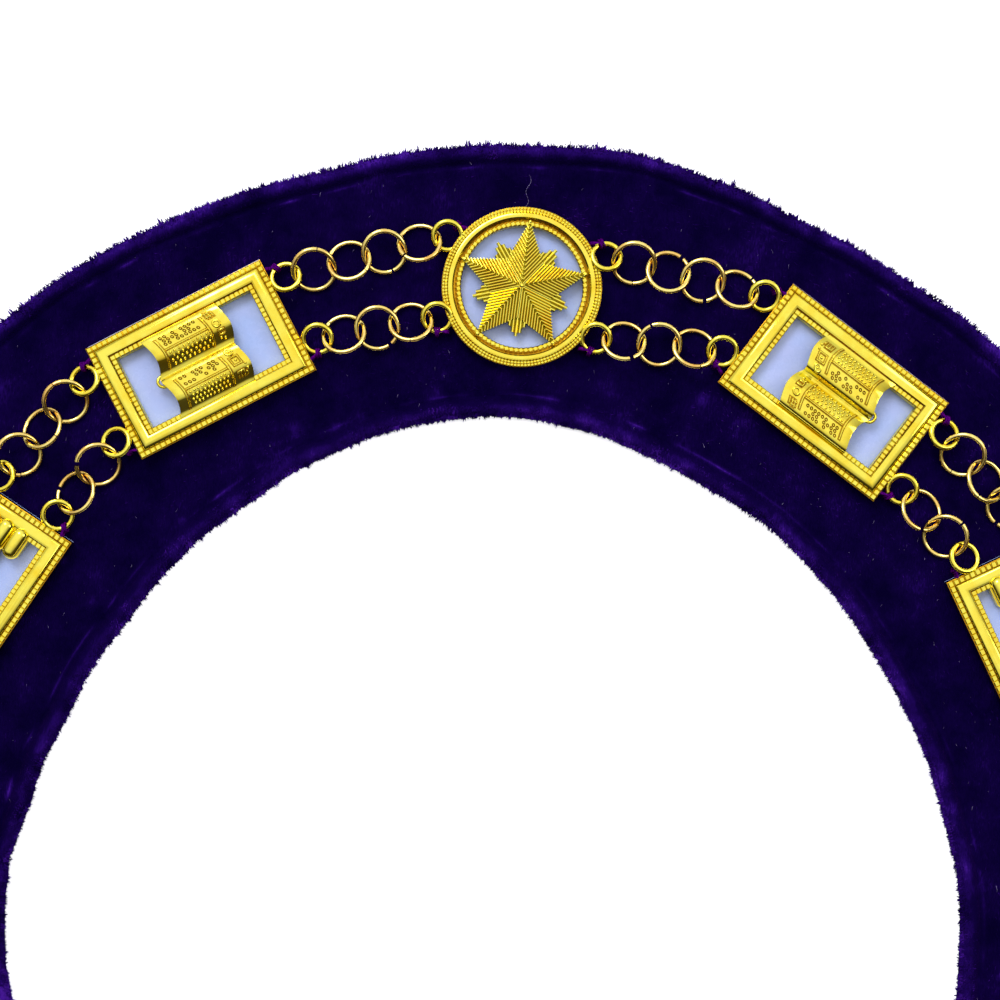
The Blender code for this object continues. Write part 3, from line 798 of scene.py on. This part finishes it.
# %% Lobes and bar
def lobe(x, y, high):
    only(floor)
    bpy.ops.mesh.primitive_uv_sphere_add(segments=28, ring_count=14, radius=2.0 * MM, location=(0, 0, 0))
    shape = bpy.context.object
    pick(shape, lambda middle, normal: middle.z < -0.05 * MM)
    bpy.ops.mesh.delete(type="FACE")
    for hand in (-1, 1):
        pick(shape, lambda co, normal: co.x * hand > 0.25 * MM, "VERT")
        bpy.ops.transform.translate(value=(hand * 2.15 * MM, 0, 0))
    pick(shape, lambda middle, way: abs(middle.z) < 1e-7, "EDGE")
    bpy.ops.mesh.extrude_region_move(TRANSFORM_OT_translate={"value": (0, 0, -0.5 * MM)})
    for value, drop in (((1.06, 1.12, 1), 0.0), ((1.0, 1.0, 1), -0.5), ((1.0, 1.0, 1), -0.9)):
        bpy.ops.mesh.extrude_region_move(TRANSFORM_OT_translate={"value": (0, 0, drop * MM)})
        bpy.ops.transform.resize(value=value, center_override=(0, 0, 0))
    bpy.ops.mesh.edge_face_add()
    pick(shape, lambda co, normal: True, "VERT")
    bpy.ops.mesh.normals_make_consistent(inside=False)
    bpy.ops.object.mode_set(mode="OBJECT")
    for v in shape.data.vertices:
        v.co.z *= 0.6 if v.co.z > 0 else 1.0  # the top is a low dome
    low = min(v.co.z for v in shape.data.vertices)
    top = max(v.co.z for v in shape.data.vertices)
    scale = (high - 0.6) * MM / (top - low)
    for v in shape.data.vertices:
        v.co = (v.co.x + x * MM, v.co.y + y * MM, 0.6 * MM + (v.co.z - low) * scale)
    return put_down(shape, "lobe", GILT, 35)


lobe_parts = [lobe(end * 16.9, row * 4.15, 5.0 - 0.2 * abs(row)) for end in (-1, 1) for row in (-1, 0, 1)]
only(floor)
bpy.ops.mesh.primitive_cube_add(size=1, location=(0, 0, 1.5 * MM), scale=(27 * MM, 3.4 * MM, 1.6 * MM))
tie_bar = bpy.context.object
bpy.ops.object.transform_apply(location=True, rotation=False, scale=True)
pick(tie_bar, lambda middle, normal: normal.z > 0.9)
bpy.ops.mesh.inset(thickness=0.5 * MM, depth=0.25 * MM)
bpy.ops.mesh.inset(thickness=0.35 * MM, depth=-0.2 * MM)
lobe_parts.append(put_down(tie_bar, "tie_bar", GILT, 30))
lobe_master = join(lobe_parts, "lobe_master")
print("lobes", len(lobe_master.data.polygons), "faces")

# %% [markdown]
# ## Loops and jump rings
# A ring is round wire with a cut in it, so it is a small disc spun almost all the way round: the
# first and the last disc are its cut ends. Each plate has four loops of thicker wire, soldered to its
# side, and each loop is turned by the run of rings that pulls on it.

# %% Wire rings
def wire_ring(radius, wire, cut, name, steps=40, sides=10, mat=GILT_WIRE):
    """Ring of round wire in the xy plane round the origin, sizes in mm, its cut of so many degrees at -y."""
    only(floor)
    bpy.ops.mesh.primitive_circle_add(
        vertices=sides, radius=wire / 2 * MM, fill_type="NGON", location=(radius * MM, 0, 0), rotation=(math.pi / 2, 0, 0))
    made = bpy.context.object
    bpy.ops.object.transform_apply(location=True, rotation=True, scale=True)
    bpy.ops.object.mode_set(mode="EDIT")
    bpy.ops.mesh.select_all(action="SELECT")
    bpy.ops.mesh.spin(steps=steps, angle=math.radians(360 - cut), center=(0, 0, 0), axis=(0, 0, 1))
    bpy.ops.mesh.select_all(action="SELECT")
    bpy.ops.mesh.normals_make_consistent(inside=False)
    bpy.ops.object.mode_set(mode="OBJECT")
    made.data.transform(Matrix.Rotation(math.radians(-90 + cut / 2), 4, "Z"))
    bm = bmesh.new()
    bm.from_mesh(made.data)
    assert all(len(edge.link_faces) == 2 for edge in bm.edges), "the ring isn't closed"
    bm.free()
    return put_down(made, name, mat, 60)


LOOP_RADIUS, LOOP_WIRE, LINK_RADIUS, LINK_WIRE = 3.575, 1.45, 5.3, 1.25
loop_master = wire_ring(LOOP_RADIUS, LOOP_WIRE, 0.5, "loop_master", steps=32, mat=GILT)
link_masters = [wire_ring(LINK_RADIUS, LINK_WIRE, cut, "link_master") for cut in (2.5, 6.0, 11.0)]
print("ring faces", len(loop_master.data.polygons), [len(m.data.polygons) for m in link_masters])

# %% Where the loops are, and which way each run pulls
LOOP_Z = 6.55 * MM
SIDE = (28.55 * MM, 8.75 * MM)


def round_loops(angles):
    return {key: Vector((22.7 * MM * math.cos(math.radians(a)), 22.7 * MM * math.sin(math.radians(a)))) for key, a in angles.items()}


SIDE_LOOPS = {key: Vector((SIDE[0] * sx, SIDE[1] * sy)) for key, sx, sy in (
    ("out_o", 1, 1), ("out_i", 1, -1), ("in_o", -1, 1), ("in_i", -1, -1))}
DISC_LOOPS = round_loops({"out_o": 27.2, "out_i": -27.2, "in_o": 152.8, "in_i": 207.2})
FRONT_LOOPS = round_loops({"in_o": 192.8, "in_i": 247.2, "out_o": -12.8, "out_i": -67.2, "badge": 90})
LOOPS = {
    name: FRONT_LOOPS if name == "front_disc" else DISC_LOOPS if kind == "disc" else SIDE_LOOPS
    for name, kind, _ in STATIONS
}
IN_LOOP, IN_LINK = (LOOP_RADIUS - LOOP_WIRE / 2) * MM, (LINK_RADIUS - LINK_WIRE / 2) * MM
loop_turns, runs = {("front_disc", "badge"): (math.radians(90), 0.0)}, []
for (a, _, _), (b, _, _) in zip(STATIONS[-1:] + STATIONS[:-1], STATIONS):
    for row, sign, label in (("o", 1, "outer"), ("i", -1, "inner")):
        start = PLACES[a] @ Vector((*LOOPS[a]["out_" + row], LOOP_Z))
        end = PLACES[b] @ Vector((*LOOPS[b]["in_" + row], LOOP_Z))
        span, along = (end - start).length, (end - start).normalized()
        count = max(2, math.ceil((span - 2 * IN_LOOP + 0.1 * MM) / (2 * IN_LINK)))
        if "back" in (a, b):
            count = 4 if row == "o" else 3
        slack = (2 * IN_LOOP + 2 * count * IN_LINK - span) / (count + 1)
        reach = IN_LOOP + IN_LINK - slack
        pitch = (span - 2 * reach) / (count - 1)
        rolls = [sign * (27 if k in (0, count - 1) else chance.uniform(16, 30)) * (-1) ** k for k in range(count)]
        for name, key, roll in ((a, "out_" + row, -sign * 18), (b, "in_" + row, -math.copysign(18, rolls[-1]))):
            local = PLACES[name].to_3x3().inverted() @ along
            loop_turns[name, key] = (math.atan2(local.y, local.x), roll)
        runs.append((a, b, label, [start + along * (reach + pitch * k) for k in range(count)], along, rolls))
        assert slack > 0.05 * MM, (a, b, label, slack)
print("runs", len(runs), "with", sum(len(run[3]) for run in runs), "rings")

# %% [markdown]
# ## Plates in place
# A plate is soldered: frame, badge and loops are one piece. The masters are copied onto each station,
# every copy with its own mesh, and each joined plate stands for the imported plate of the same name.

# %% Twelve plates
def copy_at(master, place, name):
    made = master.copy()
    made.data = master.data.copy()
    made.data.transform(place)
    made.name = made.data.name = name
    bpy.context.scene.collection.objects.link(made)
    return made


LIFT = Matrix.Translation((0, 0, PLATE_Z))
for name, kind, t in STATIONS:
    place = PLACES[name] @ LIFT
    if kind == "disc":
        parts = [copy_at(disc_master, place, name)]
    else:
        parts = [copy_at(rect_frame, place, name)]
        if kind == "book":
            turned = Matrix.Rotation(math.pi if t > 0 else 0, 4, "Z")
            parts.append(copy_at(fold_master, place @ turned, "relief"))
        else:
            parts.append(copy_at(lobe_master, place, "relief"))
    for key, (x, y) in LOOPS[name].items():
        angle, roll = loop_turns[name, key]
        stand = Matrix.Translation((x, y, LOOP_Z)) @ Matrix.Rotation(angle, 4, "Z") @ Matrix.Rotation(math.radians(roll), 4, "X")
        parts.append(copy_at(loop_master, PLACES[name] @ stand, "loop"))
    plate = join(parts, "gilt_plate_" + name)
    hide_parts("plate_" + name)
    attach(plate, "root")

# %% [markdown]
# ## Film behind the plates
# A thin lilac film closes each window from behind. It isn't cut quite true, so it peeks out past one
# side. Each film is a slab with a fine grid on it, whose points rise and fall a little.

# %% Twelve films
SHEET_LOW, SHEET_THICK = 3.65 * MM, 0.5 * MM
FILM_SHIFT = {"disc": (0, 0), "book": (0, 0.9 * MM), "lobe": (-0.25 * MM, 0.1 * MM)}
for name, kind, t in STATIONS:
    only(floor)
    if kind == "disc":
        bpy.ops.mesh.primitive_circle_add(vertices=64, radius=19.6 * MM, fill_type="TRIFAN")
    else:
        bpy.ops.mesh.primitive_grid_add(x_subdivisions=24, y_subdivisions=16, size=1)
        bpy.ops.transform.resize(value=((FRAME_LONG - 0.5) * MM, (FRAME_SHORT - 0.5) * MM, 1), center_override=(0, 0, 0))
    film = bpy.context.object
    bpy.ops.object.transform_apply(location=True, rotation=False, scale=True)
    if kind == "disc":
        bpy.ops.object.mode_set(mode="EDIT")
        bpy.ops.mesh.select_all(action="SELECT")
        bpy.ops.mesh.subdivide(number_cuts=4)
    bpy.ops.object.mode_set(mode="OBJECT")
    shift_x, shift_y = FILM_SHIFT[kind]
    for v in film.data.vertices:
        ripple = 0.12 * MM * noise.noise(Vector((v.co.x * 190, v.co.y * 190, t * 9)))
        v.co = (v.co.x + (-shift_x if t < 0 else shift_x), v.co.y + shift_y, SHEET_LOW + SHEET_THICK / 2 + ripple)
    only(film)
    wall = film.modifiers.new("wall", "SOLIDIFY")
    wall.thickness, wall.offset = 0.22 * MM, 0
    bpy.ops.object.modifier_apply(modifier="wall")
    film.data.transform(PLACES[name])
    put_down(film, "film_" + name, FILM, 40)
    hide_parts("backing_" + name)
    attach(film, "root")

# %% [markdown]
# ## Two rows of jump rings
# Neighbouring rings roll opposite ways, so each passes through the next. Their cuts face any way, as
# closed by hand. The rings by the back medallion are separate nodes, so each stands for its own node;
# the other runs are one node each, and a run's rings are joined to stand for it.

# %% Rings in place
for a, b, label, centres, along, rolls in runs:
    heading = math.atan2(along.y, along.x)
    rings = []
    for k, (centre, roll) in enumerate(zip(centres, rolls)):
        lean = heading + math.radians(chance.uniform(-8, 8))
        if k in (0, len(centres) - 1):
            other = PLACES[a if k == 0 else b].col[0].to_3d()
            if "front_disc" not in (a, b):
                turned = along.lerp(other, 0.35)
                lean = math.atan2(turned.y, turned.x)
        cut_at = Matrix.Rotation(math.radians(chance.choice((-60, 0, 25, 150, 180, 215)) + chance.uniform(-12, 12)), 4, "Z")
        stand = Matrix.Rotation(lean, 4, "Z") @ Matrix.Rotation(math.radians(roll), 4, "X")
        rings.append(copy_at(chance.choice(link_masters), Matrix.Translation(centre) @ stand @ cut_at, "link"))
    if "back" in (a, b):
        for k, made in enumerate(rings, start=1):
            made.name = made.data.name = f"link_{a}_to_{b}_{label}_{k}"
            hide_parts(f"ring_{a}_to_{b}_{label}_{k}")
            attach(made, "root")
    else:
        run = join(rings, f"links_{a}_to_{b}_{label}")
        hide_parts(f"run_{a}_to_{b}_{label}")
        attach(run, "root")
discard(square_bead, small_bead, fine_bead, inner_bead, rib, ball, ringlet, ring_boss, pearl)

# %% [markdown]
# ## Velvet band
# The collar is velvet over a stiffening, its edges turned over and sewn down, so they stand up as
# rolls with a groove behind them. A long grid is carried round the chain line, one strip of its rows
# along each line of the cross-section, and its ends and its long sides are merged. Then the cloth is
# shaped as hands would: rolls swell and pinch, the edge wanders, and the nap is crushed in places.
# Each point also keeps a nap value for the finish to read: how crushed its nap is, and painted sheen on the rolls.

# %% The band's cross-section
ROLL_STEPS = ((0.0, 2.2), (0.25, 3.1), (0.75, 3.9), (1.4, 4.4), (2.2, 4.68), (3.0, 4.62), (3.7, 4.25), (4.3, 3.7),
              (4.75, 3.25), (5.2, 3.2), (5.7, 3.42), (6.2, 3.3), (6.8, 3.42), (8.0, 3.42))


# The cloth's edges wander by a millimetre or two, as (along the line, wider by), in mm.
OUTER_WANDER = ((-130, 0.8), (-104, 0.8), (-88, 0), (-65, -1.4), (-44, -1.9), (-22, -0.7), (0, 0), (19, 1.5), (40, -0.3),
                (61, -2.0), (83, -1.7), (97, -0.6), (130, 0))
INNER_WANDER = ((-330, 0), (-262, -4.2), (-240, -4.0), (-215, -1.4), (-180, 0.8), (-150, 1.6), (-110, 0.9), (-70, 0.3),
                (0, 0.2), (25, 1.0), (50, 1.9), (80, 1.3), (105, 1.0), (150, 2.0), (205, 0.4), (240, -1.2), (270, -1.6), (330, 0))


def wander_at(t, table):
    """How much wider the band is at t, in mm, read between the table's points."""
    for (t0, w0), (t1, w1) in zip(table, table[1:]):
        if t0 <= t / MM <= t1:
            share = (t / MM - t0) / (t1 - t0)
            return w0 + (w1 - w0) * share * share * (3 - 2 * share)
    return 0.0


def edges(t):
    """Half widths of the band in mm, towards the neck and away from it."""
    rise = min(1.0, abs(t) / (110 * MM))
    inner = (INNER_HALF_BACK + (INNER_HALF - INNER_HALF_BACK) * rise * rise * (3 - 2 * rise)) / MM
    return inner + wander_at(t, INNER_WANDER), OUTER_HALF / MM + wander_at(t, OUTER_WANDER)


def section(t):
    """Points (u, z, from edge, is top) in mm, once round from the inner edge over the top and back."""
    inner, outer = edges(t)
    left = [(-inner + a, z, a, 1) for a, z in ROLL_STEPS]
    right = [(outer - a, z, a, 1) for a, z in reversed(ROLL_STEPS)]
    middle = [(-inner + 8 + (outer + inner - 16) * k / 30, 3.42, 8.0, 1) for k in range(1, 30)]
    under = [(outer - 0.1, 1.2, 0.1, 0), (outer - 0.9, 0.3, 0.9, 0), (outer - 3, 0.0, 3, 0), (0.0, 0.0, 20, 0)]
    under += [(-inner + 3, 0.0, 3, 0), (-inner + 0.9, 0.3, 0.9, 0), (-inner + 0.1, 1.2, 0.1, 0)]
    return left + middle + right + under


ROUND = len(section(0))
LONG = 880
print("section of", ROUND, "points,", LONG, "sections")


# Places where the nap is crushed hard, as (along the line, across it), in mm.
CRUSHED = ((-57.8, -28.3), (-48.5, -27.9), (-69.5, -26.3), (-21.8, -21.9), (-25.2, -25.7), (-148.2, -15.1), (66.0, 35.1), (47.5, 40.0), (54.0, -17.5), (-114.8, -30.3), (-152.2, -27.3), (139.8, -32.4))


def band_point(t, u, z):
    """Place of a point u to the side of the chain line, with the straight runs leaning into the mitre."""
    point, heading = on_line(t)
    out = Vector((math.sin(heading), math.cos(heading)))
    along = Vector((math.cos(heading), -math.sin(heading)))
    side, start = math.copysign(1, t), SPANS[-1][0]
    share = max(0.0, (abs(t) - start) / (HALF_LENGTH - start)) * side
    lean = share * out.x / -along.x if share else 0.0
    flat = point + (out + along * (lean * side)) * (u * MM)
    return Vector((flat.x, flat.y + SHIFT_Y, z * MM))


# %% Band from one long grid
only(floor)
bpy.ops.mesh.primitive_grid_add(x_subdivisions=LONG, y_subdivisions=ROUND, size=2)
band = bpy.context.object
nap = band.data.attributes.new("nap_crush_and_painted_sheen", "FLOAT", "POINT")


chance.seed(21)
pinches = [(chance.uniform(-HALF_LENGTH, HALF_LENGTH), chance.choice((-1, 1)), chance.uniform(0.5, 1.0)) for _ in range(130)]
crush_spots = [(chance.uniform(-HALF_LENGTH, HALF_LENGTH), chance.uniform(-27, 27), chance.uniform(4, 13)) for _ in range(70)]
crush_spots += [(at * MM, u, 2.2) for at, u in CRUSHED]
crush_spots = [(*band_point(t, u, 3.4).xy, reach) for t, u, reach in crush_spots]
rows = [section(-HALF_LENGTH + 2 * HALF_LENGTH * i / LONG) for i in range(LONG + 1)]
for v in band.data.vertices:
    i, j = round((v.co.x + 1) / 2 * LONG), round((v.co.y + 1) / 2 * ROUND) % ROUND
    t = -HALF_LENGTH + 2 * HALF_LENGTH * i / LONG
    t = t if abs(t) < HALF_LENGTH - 1e-9 else HALF_LENGTH  # both ends meet at the point
    u, z, edge, top = rows[i][j]
    side = 1 if u > 0 else -1
    base = band_point(t, u, z)
    slow, fast = noise.noise(base * 32), noise.noise(base * 170 + Vector((5, 0, 0)))
    fine = noise.noise(base * 480)
    near = math.exp(-((edge / 5.5) ** 2))
    wander = 0.75 * noise.noise(Vector((t * 38, side * 9.0, 3))) + 0.3 * noise.noise(Vector((t * 150, side * 9.0, 8)))
    u += side * wander * max(0.0, 1 - edge / 12) - side * 0.25
    if top:
        pinch = sum(deep * math.exp(-((t - at) / (1.7 * MM)) ** 2) for at, where, deep in pinches if where == side)
        z += near * (0.45 * slow + 0.4 * fast + 0.16 * fine - 0.55 * min(pinch, 1.2))
        z += (1 - near) * (0.16 * slow + 0.06 * fast)
        z -= 0.5 * max((math.exp(-(((t / MM - at) / 1.6) ** 2 + ((u - across) / 1.2) ** 2)) for at, across in CRUSHED))
    v.co = band_point(t, u, min(z, 5.0))
    spots = max((math.exp(-(((base.x - x) ** 2 + (base.y - y) ** 2) / (reach * MM) ** 2)) for x, y, reach in crush_spots))
    # Painted sheen: the nap value is highest on the rolls near the edge and on the small ridge behind them, where the
    # pile would catch the light.
    roll = math.exp(-((max(0.0, edge - 1.6) / 1.7) ** 2)) if top else 1.0
    roll += 0.9 * math.exp(-(((edge - 5.7) / 0.45) ** 2)) * max(0, 0.5 + 1.4 * fast)
    marks = max((math.exp(-(((t / MM - at) / 2.0) ** 2 + ((u - across) / 1.6) ** 2)) for at, across in CRUSHED)) if top else 0.0
    nap.data[v.index].value = min(
        1.1, roll * (0.72 + 0.5 * fast) + 0.3 * spots * (0.5 + fast) + 0.12 * max(0, slow) + 0.8 * marks * (0.6 + fine))
only(band)
bpy.ops.object.mode_set(mode="EDIT")
bpy.ops.mesh.select_all(action="SELECT")
bpy.ops.mesh.remove_doubles(threshold=0.02 * MM)
bpy.ops.mesh.normals_make_consistent(inside=False)
put_down(band, "velvet_collar", VELVET, 75)
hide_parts("velvet_band")
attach(band, "root")
bm = bmesh.new()
bm.from_mesh(band.data)
print("band", len(bm.faces), "faces, open edges", sum(len(edge.link_faces) != 2 for edge in bm.edges), "volume", round(bm.calc_volume() / MM ** 3), "mm3")
bm.free()

# %% [markdown]
# ## Pile
# Along both edges the pile stands out as short ragged tufts, and lies flat in small streaks on the
# field. A tuft is a four-sided spike. Thousands are needed, so the corners of all spikes of a piece
# are worked out together and made a mesh in one step.

# %% Spikes
def spikes(name, blades, mat, level=0.8):
    """One object from spikes, each (foot, direction with length, half width of the foot), in metres."""
    verts, faces = [], []
    for foot, reach, half in blades:
        side = reach.cross(Vector((0, 0, 1)))
        side = (side if side.length > 1e-9 else Vector((1, 0, 0))).normalized() * half
        across = reach.cross(side).normalized() * half * 0.8
        n = len(verts)
        verts += [foot + side, foot + across, foot - side, foot - across, foot + reach]
        faces += [(n + 3, n + 2, n + 1, n), (n, n + 1, n + 4), (n + 1, n + 2, n + 4), (n + 2, n + 3, n + 4), (n + 3, n, n + 4)]
    mesh = bpy.data.meshes.new(name)
    mesh.from_pydata(verts, [], faces)
    obj = bpy.data.objects.new(name, mesh)
    bpy.context.scene.collection.objects.link(obj)
    only(obj)
    bpy.ops.object.mode_set(mode="EDIT")
    bpy.ops.mesh.select_all(action="SELECT")
    bpy.ops.mesh.normals_make_consistent(inside=False)
    obj = put_down(obj, name, mat, 60)
    nap = obj.data.attributes.new("nap_crush_and_painted_sheen", "FLOAT", "POINT")
    for k, (foot, reach, half) in enumerate(blades):
        # Painted sheen: each spike's nap value is its level with some noise and a brighter tip, so the edge tufts read
        # brightest.
        bright = level * (1 + 1.1 * noise.noise(foot * 420))
        for corner in range(5):
            nap.data[5 * k + corner].value = bright if corner < 4 else bright + 0.3
    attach(obj, "root")
    return obj


chance.seed(33)
blades = []
for side in (-1, 1):
    steps = 4400
    for k in range(steps):
        t = -HALF_LENGTH + 2 * HALF_LENGTH * (k + chance.random()) / steps
        edge_u = -edges(t)[0] if side < 0 else edges(t)[1]
        wander = 0.75 * noise.noise(Vector((t * 38, side * 9.0, 3))) + 0.3 * noise.noise(Vector((t * 150, side * 9.0, 8)))
        edge_u += side * (wander - 0.25)
        clump = 0.3 + (2.6 if side > 0 else 1.3) * max(0, 0.12 + noise.noise(Vector((t * 760, side * 4.0, 1))))
        for low, inward in ((1.8, 0.3), (3.2, 0.7)):
            z = low + chance.uniform(-0.7, 0.6)
            foot = band_point(t, edge_u - side * inward, z)
            tip = band_point(
                t + chance.uniform(-0.6, 0.6) * MM, edge_u + side * clump * chance.uniform(0.6, 1.3), z + chance.uniform(-0.2, 0.5))
            blades.append((foot, tip - foot, chance.uniform(0.16, 0.3) * MM))
edge_pile = spikes("edge_pile", blades, VELVET, 0.8)
print("edge pile", len(blades), "spikes")

# %% Pile on the rolls
blades = []
for side in (-1, 1):
    for k in range(13000):
        t = chance.uniform(-HALF_LENGTH, HALF_LENGTH)
        j = chance.randrange(1, 7)
        u, z = ROLL_STEPS[j][0] - edges(t)[0], ROLL_STEPS[j][1]
        if side > 0:
            u = edges(t)[1] - ROLL_STEPS[j][0]
        u += chance.uniform(-0.3, 0.3)
        foot = band_point(t, u, z - 0.35)
        tip = band_point(t + chance.uniform(-0.5, 0.5) * MM, u + side * chance.uniform(0.1, 0.9), z + chance.uniform(0.05, 0.4))
        blades.append((foot, tip - foot, chance.uniform(0.12, 0.22) * MM))
roll_pile = spikes("roll_pile", blades, VELVET, 0.66)
print("roll pile", len(blades), "spikes")

# %% [markdown]
# ## The pile on the field
# The pile of the field lies over in one direction, round the neck, and shows as fine short streaks.

# %% Field pile
blades = []
for k in range(15000):
    t = chance.uniform(-HALF_LENGTH, HALF_LENGTH)
    u = chance.uniform(-29, 30)
    spot = band_point(t, u, 3.3)
    if any(abs(local.x) < 27 * MM and abs(local.y) < 17 * MM for local in (PLACES[name].inverted() @ spot for name, _, _ in STATIONS)):
        continue
    ahead = band_point(t + chance.uniform(0.5, 1.3) * MM, u + chance.uniform(-0.5, 0.5), 3.5 + chance.uniform(0, 0.3))
    blades.append((spot, ahead - spot, chance.uniform(0.05, 0.09) * MM))
field_pile = spikes("field_pile", blades, VELVET, 0.6)
print("field pile", len(blades), "spikes")

# %% [markdown]
# ## Lint
# Velvet gathers dust. A few hundred pale short fibres lie on the pile, and one long fibre, made of
# short straight pieces end to end, has caught by the top medallion.

# %% Fibres
blades = []
for k in range(900):
    t, u = chance.uniform(-HALF_LENGTH, HALF_LENGTH), chance.uniform(-32, 33)
    spot = band_point(t, u, 3.75)
    if any(abs(local.x) < 27 * MM and abs(local.y) < 18 * MM for local in (PLACES[name].inverted() @ spot for name, _, _ in STATIONS)):
        continue
    way = Vector((chance.uniform(-0.5, 0.5), chance.uniform(-1, 1), chance.uniform(0, 0.15))) * chance.uniform(0.5, 1.4) * MM
    blades.append((spot, way, chance.uniform(0.035, 0.07) * MM))
caught = [PLACES["back"] @ (Vector((-1.6 + 0.5 * math.sin(k * 0.9), 20.6 + 0.75 * k, 4.4)) * MM) for k in range(12)]
blades += [(a, (b - a) * 1.15, 0.07 * MM) for a, b in zip(caught, caught[1:])]
lint = spikes("lint", blades, LINT)
print("fibres", len(blades))

# %% [markdown]
# ## Thread ties
# Each loop is sewn down to the velvet with a few turns of violet thread at its foot. A tie is a
# short wrap of thread round the wire: three rings of thread side by side and two tails.

# %% Wraps of thread
only(floor)
bpy.ops.mesh.primitive_torus_add(
    major_segments=18, minor_segments=6, major_radius=0.95 * MM, minor_radius=0.22 * MM, rotation=(math.pi / 2, 0, 0))
wrap = bpy.context.object
bpy.ops.object.transform_apply(location=True, rotation=True, scale=True)
pick(wrap, lambda middle, normal: middle.z < -0.5 * MM)
bpy.ops.transform.resize(value=(1.25, 1.0, 1.0), center_override=(0, 0, 0))
bpy.ops.transform.translate(value=(0, 0, -0.7 * MM))
put_down(wrap, "wrap", THREAD, 80)
ties = []
for name, kind, t in STATIONS:
    for key, spot in LOOPS[name].items():
        if key == "badge":
            continue
        centre = PLACES[name] @ Vector((*spot, LOOP_Z))
        away = (PLACES[name].to_3x3() @ Vector((*spot, 0))).normalized()
        if kind != "disc":
            away = PLACES[name].to_3x3() @ Vector((math.copysign(1, spot.x), 0, 0))
        outward = PLACES[name].to_3x3() @ Vector((0, math.copysign(1, spot.y), 0))
        way = (outward * chance.uniform(0.75, 1.0) - away * chance.uniform(0.1, 0.55)).normalized()
        foot = centre + way * LOOP_RADIUS * MM - Vector((0, 0, 0.35 * MM))
        tangent = way.cross(Vector((0, 0, 1))).normalized()
        angle = math.atan2(tangent.y, tangent.x)
        for k in (-1, 0, 1):
            shift = tangent * k * 0.4 * MM + Vector((0, 0, chance.uniform(-0.1, 0.1) * MM))
            turn = Matrix.Rotation(angle + math.pi / 2 + math.radians(chance.uniform(-12, 12)), 4, "Z")
            ties.append(Matrix.Translation(foot + shift) @ turn)
        inward = (-away + way * 0.35).normalized()
        for k in (-1, 1):  # and two strands that run back to the plate
            turn = Matrix.Rotation(math.atan2(inward.y, inward.x) + math.radians(7 * k), 4, "Z")
            ties.append(Matrix.Translation(foot + inward * 1.1 * MM) @ turn @ Matrix.Diagonal((1.6, 1.1, 0.8, 1)))
ties_piece = repeated(wrap, ties, "thread_ties")
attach(ties_piece, "root")
discard(wrap)
print("ties", len(ties) // 5)

# %% [markdown]
# ## Last steps
# The masters have done their work and go. The box of the finished object is printed, as the box of the imported one was
# at the start. The two must agree within a few millimetres.

# %% Sizes and finish
discard(*link_masters, loop_master, disc_master, rect_frame, fold_master, lobe_master)
low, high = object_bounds()
print("visual box in mm", [round((b - a) / MM, 1) for a, b in zip(low, high)])
